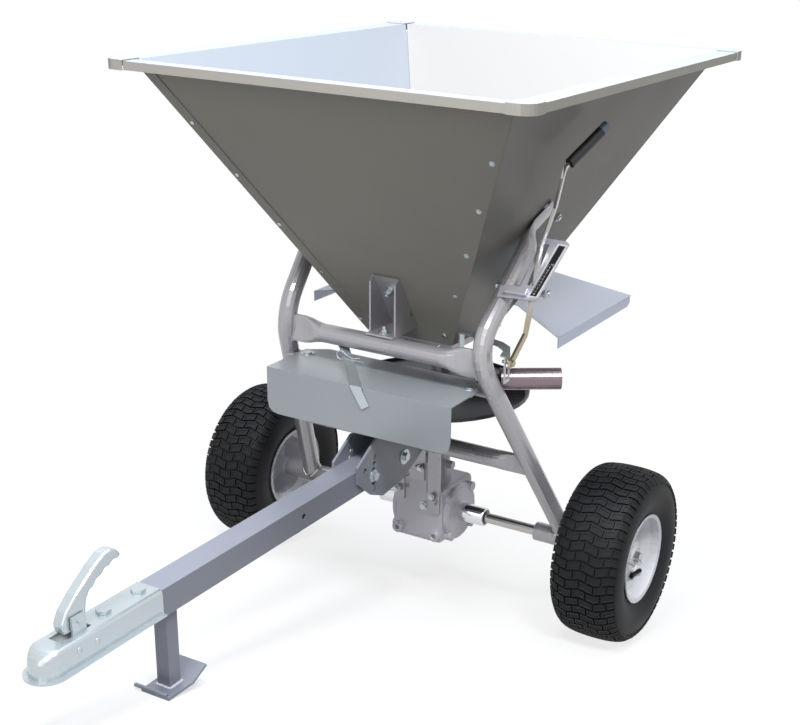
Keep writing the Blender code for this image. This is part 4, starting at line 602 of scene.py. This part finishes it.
# Hopper bracket fixings: one bolt through the web into the hopper's front sheet, locked by a second
# nut, and one nut under the flanges that draws the bracket's foot down on the cross tube.
WEB_THICKNESS = 0.003
web_point = Vector((0.0, -0.2015, 0.798)) + Vector(FRONT_OUT) * WEB_THICKNESS
web_nut = hexagon("web_nut", 0.0170, 0.0135, 0.0240, 0.0080)
fasten(stamp(web_nut, "bracket_web_bolt", [(web_point, FRONT_OUT)]))
foot_nut = hexagon("foot_nut", 0.0170, 0.0090, 0.0280, 0.0070)
fasten(stamp(foot_nut, "bracket_foot_nut", [((0.0, -0.228, 0.7055), (0, 0, 1))]))


# Weld beads: the fillets that the welder left, rippled like a row of coins, round each post's foot
# on its axle housing, round the cross tube's flattened ends and round the parking leg's foot.
def rounded(name, radius):
    """Turns the active line into a round bar that follows it."""
    bpy.ops.object.convert(target="CURVE")
    bar = bpy.context.object
    bar.name = name
    bar.data.bevel_depth = radius
    bar.data.bevel_resolution = 3
    return bar


def weld(name, points, radius):
    """A rippled bead along a closed path."""
    traced(name, points)
    bead = rounded(name, radius)
    for number, point in enumerate(bead.data.splines[0].points):
        point.radius = 1.0 + 0.16 * math.cos(number * math.tau / 4)
    return bead


def meets(start, way, through, along_axis, radius):
    """The place where a line first touches a round tube, or passes it closest."""
    def flat(vector):
        return vector - along_axis * vector.dot(along_axis)
    step, gap = flat(way), flat(start - through)
    under_root = max(0.0, step.dot(gap) ** 2 - step.dot(step) * (gap.dot(gap) - radius ** 2))
    return start + way * ((-step.dot(gap) - math.sqrt(under_root)) / step.dot(step))


POST_FOOT, POST_BEND = Vector((0.363, 0, WHEEL_RADIUS)), Vector((0.246, -0.262, 0.713))
TUBE_RADIUS, HOUSING_RADIUS = 0.0212, 0.0228
FLAT_END_Y, FLAT_END_Z, FLAT_HALF_THICKNESS, FLAT_HALF_HEIGHT = -0.237, 0.680, 0.0072, 0.0320
LEG_HALF_WIDTH, LEG_MIDDLE, SOLE_TOP = 0.0165, -0.970, 0.2172
ACROSS = Vector((1, 0, 0))
post_way = (POST_BEND - POST_FOOT).normalized()
sideways = post_way.cross(ACROSS).normalized()
forward = post_way.cross(sideways)
for side in (1, -1):
    mirror = Vector((side, 1, 1))
    saddle, end_path = [], []
    for number in range(72):
        angle = number / 72 * math.tau
        spoke = (sideways * math.cos(angle) + forward * math.sin(angle)) * TUBE_RADIUS
        start = POST_FOOT + post_way * 0.2 + spoke
        saddle.append(meets(start, -post_way, POST_FOOT, ACROSS, HOUSING_RADIUS) * mirror)
        edge = Vector((0.15, FLAT_END_Y + FLAT_HALF_THICKNESS * math.cos(angle), FLAT_END_Z))
        edge.z += max(-FLAT_HALF_HEIGHT, min(FLAT_HALF_HEIGHT, 0.040 * math.sin(angle)))
        end_path.append(meets(edge, ACROSS, POST_FOOT, post_way, TUBE_RADIUS) * mirror)
    label = "right" if side > 0 else "left"
    foot_bead = weld(f"post_foot_weld_{label}", saddle, 0.0031)
    assemble(foot_bead, "frame", steel.owner, 50)
    tube_bead = weld(f"cross_tube_weld_{label}", end_path, 0.0024)
    assemble(tube_bead, "frame", frame_paint.owner, 50)
corners = [
    Vector((x * LEG_HALF_WIDTH, LEG_MIDDLE + y * LEG_HALF_WIDTH, SOLE_TOP))
    for x, y in ((1, 1), (-1, 1), (-1, -1), (1, -1))
]
leg_path = [
    first.lerp(second, step / 12)
    for first, second in zip(corners, corners[1:] + corners[:1]) for step in range(12)
]
leg_bead = weld("leg_foot_weld", leg_path, 0.0026)
assemble(leg_bead, "frame", plate_paint.owner, 50)


# Guard fixings and hairpin: each guard bolt bears on a wide washer, and a spring hairpin of bent
# wire, pushed through the adjuster strap, keeps the strap in its place.
def turned(name, profile, steps=40):
    """A piece turned on the lathe: its closed outline of (radius, height) spun round Z."""
    piece = traced(name, [(radius, 0, upward) for radius, upward in profile])
    edit(piece)
    bpy.ops.mesh.select_all(action="SELECT")
    bpy.ops.mesh.spin(steps=steps, angle=math.tau, center=(0, 0, 0), axis=(0, 0, 1))
    bpy.ops.mesh.select_all(action="SELECT")
    bpy.ops.mesh.remove_doubles(threshold=0.00002)
    bpy.ops.mesh.select_all(action="SELECT")
    bpy.ops.mesh.delete_loose(use_verts=True, use_edges=True, use_faces=False)
    bpy.ops.mesh.select_all(action="SELECT")
    bpy.ops.mesh.normals_make_consistent(inside=False)
    bpy.ops.object.mode_set(mode="OBJECT")
    return piece


SUNK = -0.0003


def ring(name, inner, outer, thick):
    """A flat washer with its edges broken, let in a little where it lies."""
    edge = thick * 0.25
    return turned(name, [
        (inner, SUNK), (outer, SUNK), (outer, thick - edge), (outer - edge, thick),
        (inner + edge, thick), (inner, thick - edge),
    ])


guard_washer = ring("guard_washer", 0.0060, 0.0165, 0.0020)
fasten(stamp(guard_washer, "guard_washers", both_sides(((0.214, -0.218, 0.6149), (0, 0, 1)))))


def wire(name, points, size, closed=False):
    """Bent round wire that follows a path."""
    bent = traced(name, points)
    if not closed:
        edit(bent)
        bpy.ops.mesh.select_mode(type="EDGE")
        bpy.ops.mesh.select_all(action="DESELECT")
        bpy.ops.object.mode_set(mode="OBJECT")
        ends = {0, len(points) - 1}
        next(line for line in bent.data.edges if set(line.vertices) == ends).select = True
        bpy.ops.object.mode_set(mode="EDIT")
        bpy.ops.mesh.delete(type="EDGE")
        bpy.ops.object.mode_set(mode="OBJECT")
    bent = rounded(name, size / 2)
    bent.data.use_fill_caps = True
    return bent


CLIP_Y, EYE_Y = -0.2725, -0.2720
clip = [(x, CLIP_Y, z) for x, z in (
    (-0.0240, 0.6440), (-0.0360, 0.6441), (-0.0500, 0.6442), (-0.0640, 0.6444), (-0.0740, 0.6452),
)]
for number in range(17):
    angle = math.radians(-50 - number * 16.25)
    x, z = -0.0850 + 0.0115 * math.cos(angle), 0.6500 + 0.0095 * math.sin(angle)
    clip.append((x, EYE_Y, z))
clip += [(x, CLIP_Y, z) for x, z in (
    (-0.0700, 0.6535), (-0.0610, 0.6500), (-0.0520, 0.6478), (-0.0430, 0.6500), (-0.0340, 0.6522),
)]
assemble(wire("hairpin", clip, 0.0030), "frame", zinc.owner, 50)

# Gearbox front: two cored lugs cast on the case, a hexagon level plug on its collar, the screws
# that hold the three hangers, and the bright sleeve that drives the axle on each side.
lug = turned("lug", [
    (0.0058, -0.0010), (0.0145, -0.0010), (0.0139, 0.0105), (0.0127, 0.0120), (0.0070, 0.0120),
    (0.0058, 0.0108),
])
lugs = stamp(lug, "gearbox_lugs", both_sides(((0.051, -0.0775, 0.163), (0, -1, 0))))
assemble(lugs, "frame", cast_paint.owner, 35)
plug = hexagon("plug", 0.0150, 0.0085, 0.0215)
fasten(stamp(plug, "gearbox_plug", [((0.018, -0.0785, 0.2336), (0, -1, 0))]))
hanger_screw = hexagon("hanger_screw", 0.0115, 0.0060, 0.0165)
fasten(stamp(hanger_screw, "hanger_screws", [
    ((x, -0.0903, z), (0, -1, 0)) for x, z in ((0.013, 0.334), (0.045, 0.267), (-0.054, 0.2665))
]))
sleeve = turned("sleeve", [
    (0.0186, 0.0), (0.0216, 0.0), (0.0228, 0.0014), (0.0228, 0.0660), (0.0218, 0.0672),
    (0.0186, 0.0672),
])
sleeves = stamp(sleeve, "axle_sleeves", both_sides(((0.0790, 0, WHEEL_RADIUS), (1, 0, 0))))
bright = metal_paint("turned_bright_steel", rgb(214, 216, 220), 0.13, 1.0, 0.0, 0.01, 0.06)
assemble(sleeves, "frame", bright.owner, 40)

# Drawbar washers: a wide one under the pivot bolt's head and a smaller one under the lock bolt's,
# on both cheek plates.
CHEEK_FACE, BOLT_HEIGHT = 0.0342, 0.407
for name, y, outer in (
    ("drawbar_pivot_washers", -0.195, 0.0185), ("drawbar_lock_washers", -0.325, 0.0140),
):
    washer = ring("washer", 0.0070, outer, 0.0024)
    fasten(stamp(washer, name, both_sides(((CHEEK_FACE, y, BOLT_HEIGHT), (1, 0, 0)))))

# Coupler rivets: four domed steel rivets, zinc-plated like the pressed body, hold the channel of
# the ball clamp inside it, two through each side.
rivet = turned("rivet", [
    (0.0, SUNK), (0.0052, SUNK), (0.0050, 0.0008), (0.0038, 0.0020), (0.0018, 0.0026),
    (0.0, 0.0027),
], 24)
COUPLER_SIDE = 0.0323
fasten(stamp(rivet, "coupler_rivets", both_sides(
    ((COUPLER_SIDE, -1.2137, 0.4206), (1, 0, 0)), ((COUPLER_SIDE, -1.1722, 0.4176), (1, 0, 0)),
)))

# Rate scale: a white adhesive strip beside the gate's slot with a black field, which is printed
# with graduations and the numbers 0 to 10.
gate_up = Vector((0, 0.6867, 0.7270))
gate_out = Vector((0, -0.7270, 0.6867))
GATE_MIDDLE = Vector((0.32004, -0.262, 0.713))
GATE_FACE = 0.0245
gate = Matrix((ACROSS, gate_up, gate_out)).transposed().to_4x4()
gate.translation = GATE_MIDDLE + gate_out * GATE_FACE
vinyl = metal_paint("black_vinyl", rgb(34, 34, 38), 0.38, 0.0, 0.2, 0.01, 0.08)
print_white = metal_paint("white_print", rgb(244, 243, 248), 0.5, 0.0, 0.0, 0.01, 0.03)
for name, top, colour, slot, corners in (
    ("rate_scale_backing", 0.0001, print_white, "rim_white",
     ((0.0062, 0.138), (0.0275, 0.141), (0.0250, 0.2735), (0.0500, 0.2735))),
    ("rate_scale", 0.0003, vinyl, "disc_black",
     ((0.0084, 0.143), (0.0232, 0.143), (0.0294, 0.2690), (0.0446, 0.2690))),
):
    strip = begin(name, "plane", size=1)
    for vertex, corner in zip(strip.data.vertices, corners):
        vertex.co = (*corner, SUNK)
    edit(strip)
    bpy.ops.mesh.select_all(action="SELECT")
    bpy.ops.mesh.extrude_region_move(TRANSFORM_OT_translate={"value": (0, 0, top - SUNK)})
    bpy.ops.mesh.select_all(action="SELECT")
    bpy.ops.mesh.normals_make_consistent(inside=False)
    bpy.ops.object.mode_set(mode="OBJECT")
    strip.matrix_world = gate
    bpy.context.view_layer.update()
    assemble(strip, "frame", colour.owner, 0)
SCALE_FOOT, SCALE_LEAN = 0.143, 0.1667
FIRST_TICK, TICK_PITCH, LONG_TICK, SHORT_TICK = 0.1485, 0.00185, 0.0030, 0.0017
marks = []
for number in range(41):
    up = FIRST_TICK + number * TICK_PITCH
    long = SHORT_TICK if number % 4 else LONG_TICK
    middle = 0.0094 + SCALE_LEAN * (up - SCALE_FOOT) + long / 2
    marks.append(begin(
        "tick", "cube", size=1, location=(middle, up, 0.00035), scale=(long, 0.00045, 0.0004)
    ))
slant = -math.atan(SCALE_LEAN)
for number in range(11):
    up = FIRST_TICK + number * TICK_PITCH * 4
    place = (0.0140 + SCALE_LEAN * (up - SCALE_FOOT), up - 0.0026, 0.0003)
    bpy.ops.object.select_all(action="DESELECT")
    bpy.ops.object.text_add(location=place, rotation=(0, 0, slant))
    figure = bpy.context.object
    figure.data.body = str(number)
    figure.data.size = 0.0072
    figure.data.extrude = 0.0002
    bpy.ops.object.convert(target="MESH")
    marks.append(bpy.context.object)
scale_marks = merged("rate_scale_marks", *marks)
bpy.context.view_layer.update()
scale_marks.data.transform(scale_marks.matrix_world)
scale_marks.matrix_world = gate
bpy.context.view_layer.update()
assemble(scale_marks, "frame", print_white.owner, 0)

# Wheel centres: a welded hub plate on each white rim, a snap-in rubber valve with its cap, and a
# ring pin through the axle's end that keeps the wheel on.
hub_profile = [
    (0.0203, 0.0), (0.0350, -0.0020), (0.0362, 0.0030), (0.0350, 0.0068), (0.0330, 0.0078),
    (0.0235, 0.0078), (0.0225, 0.0090), (0.0222, 0.0118), (0.0203, 0.0118),
]
stem_profile = [
    (0.0, -0.001), (0.0078, -0.001), (0.0074, 0.0022), (0.0056, 0.0050), (0.0046, 0.0090),
    (0.0043, 0.0200), (0.0040, 0.0206), (0.0052, 0.0212), (0.0053, 0.0300), (0.0044, 0.0318),
    (0.0, 0.0320),
]
HUB_SEAT, VALVE_SEAT, AXLE_END = 0.0392, 0.0345, 0.5435
for side, body, rim in ((1, "drive_axle", "right"), (-1, "left_wheel", "left")):
    out = Vector((side, 0, 0))
    centre = Vector((side * TRACK / 2, 0, WHEEL_RADIUS))
    hub_places = [(centre + out * HUB_SEAT, out)]
    hub = stamp(turned("hub", hub_profile, 64), f"hub_plate_{rim}", hub_places)
    assemble(hub, body, white.owner, 30)
    lean = Vector((side * 0.34, 0.93, 0.12)).normalized()
    foot = centre + Vector((side * VALVE_SEAT, 0.021, -0.062))
    stem = stamp(turned("stem", stem_profile, 28), f"valve_{rim}", [(foot, lean)])
    assemble(stem, body, rubber.owner, 40)
    end = Vector((side * AXLE_END, 0, WHEEL_RADIUS))
    cross = chamfered("cross_pin", 18, 0.0026, -0.0185, 0.0185, 0.0005)
    cross = stamp(cross, f"axle_pin_{rim}", [(end, Vector((0, 1, -0.15)))])
    loop = []
    for number in range(32):
        angle = number / 32 * math.tau
        x, y = 0.0040 + 0.0150 * math.cos(angle), -0.0300 + 0.0165 * math.sin(angle)
        loop.append(end + Vector((side * x, y, 0.002)))
    loop = wire(f"axle_pin_ring_{rim}", loop, 0.0024, True)
    assemble(cross, body, zinc.owner, 40)
    assemble(loop, body, zinc.owner, 40)


# Lever: a flat steel arm, yellow-passivated below its pivot and plain above it, with a black sleeve
# pushed on for a grip, whose end is worn grey-blue.
def reach(finish, start, way):
    """Distance in metres from a level point, along a level direction."""
    where = finish.node("ShaderNodeTexCoord", out=3)
    return along(finish, where, way) - tipped(way).dot(tip @ Vector(start))


FADE_FROM, SLEEVE_FOOT, SLEEVE_WAY = (0, 0, 0.800), (0.398, -0.167, 1.116), (0.036, 0.092, 0.067)
BLACK_LENGTH = 0.099
lever_zinc = metal_paint("lever_passivated", rgb(180, 178, 176), 0.26, 0.9, 0.0, 0.01, 0.12)
below_pivot = (reach(lever_zinc, FADE_FROM, (0, 0, -1)) * 40.0).clamped()
lay_over(lever_zinc, below_pivot, rgb(172, 162, 140))
dress(lever_zinc.owner, "shutter_lever")
grip_rubber = metal_paint("grip_sleeve", rgb(40, 40, 44), 0.50, 0.0, 0.0, 0.12, 0.12)
past_black = reach(grip_rubber, SLEEVE_FOOT, SLEEVE_WAY) - BLACK_LENGTH
lay_over(grip_rubber, (past_black * 400.0).clamped(), rgb(120, 132, 150))
dress(grip_rubber.owner, "lever_grip")

bpy.context.scene.view_settings.view_transform = "Standard"
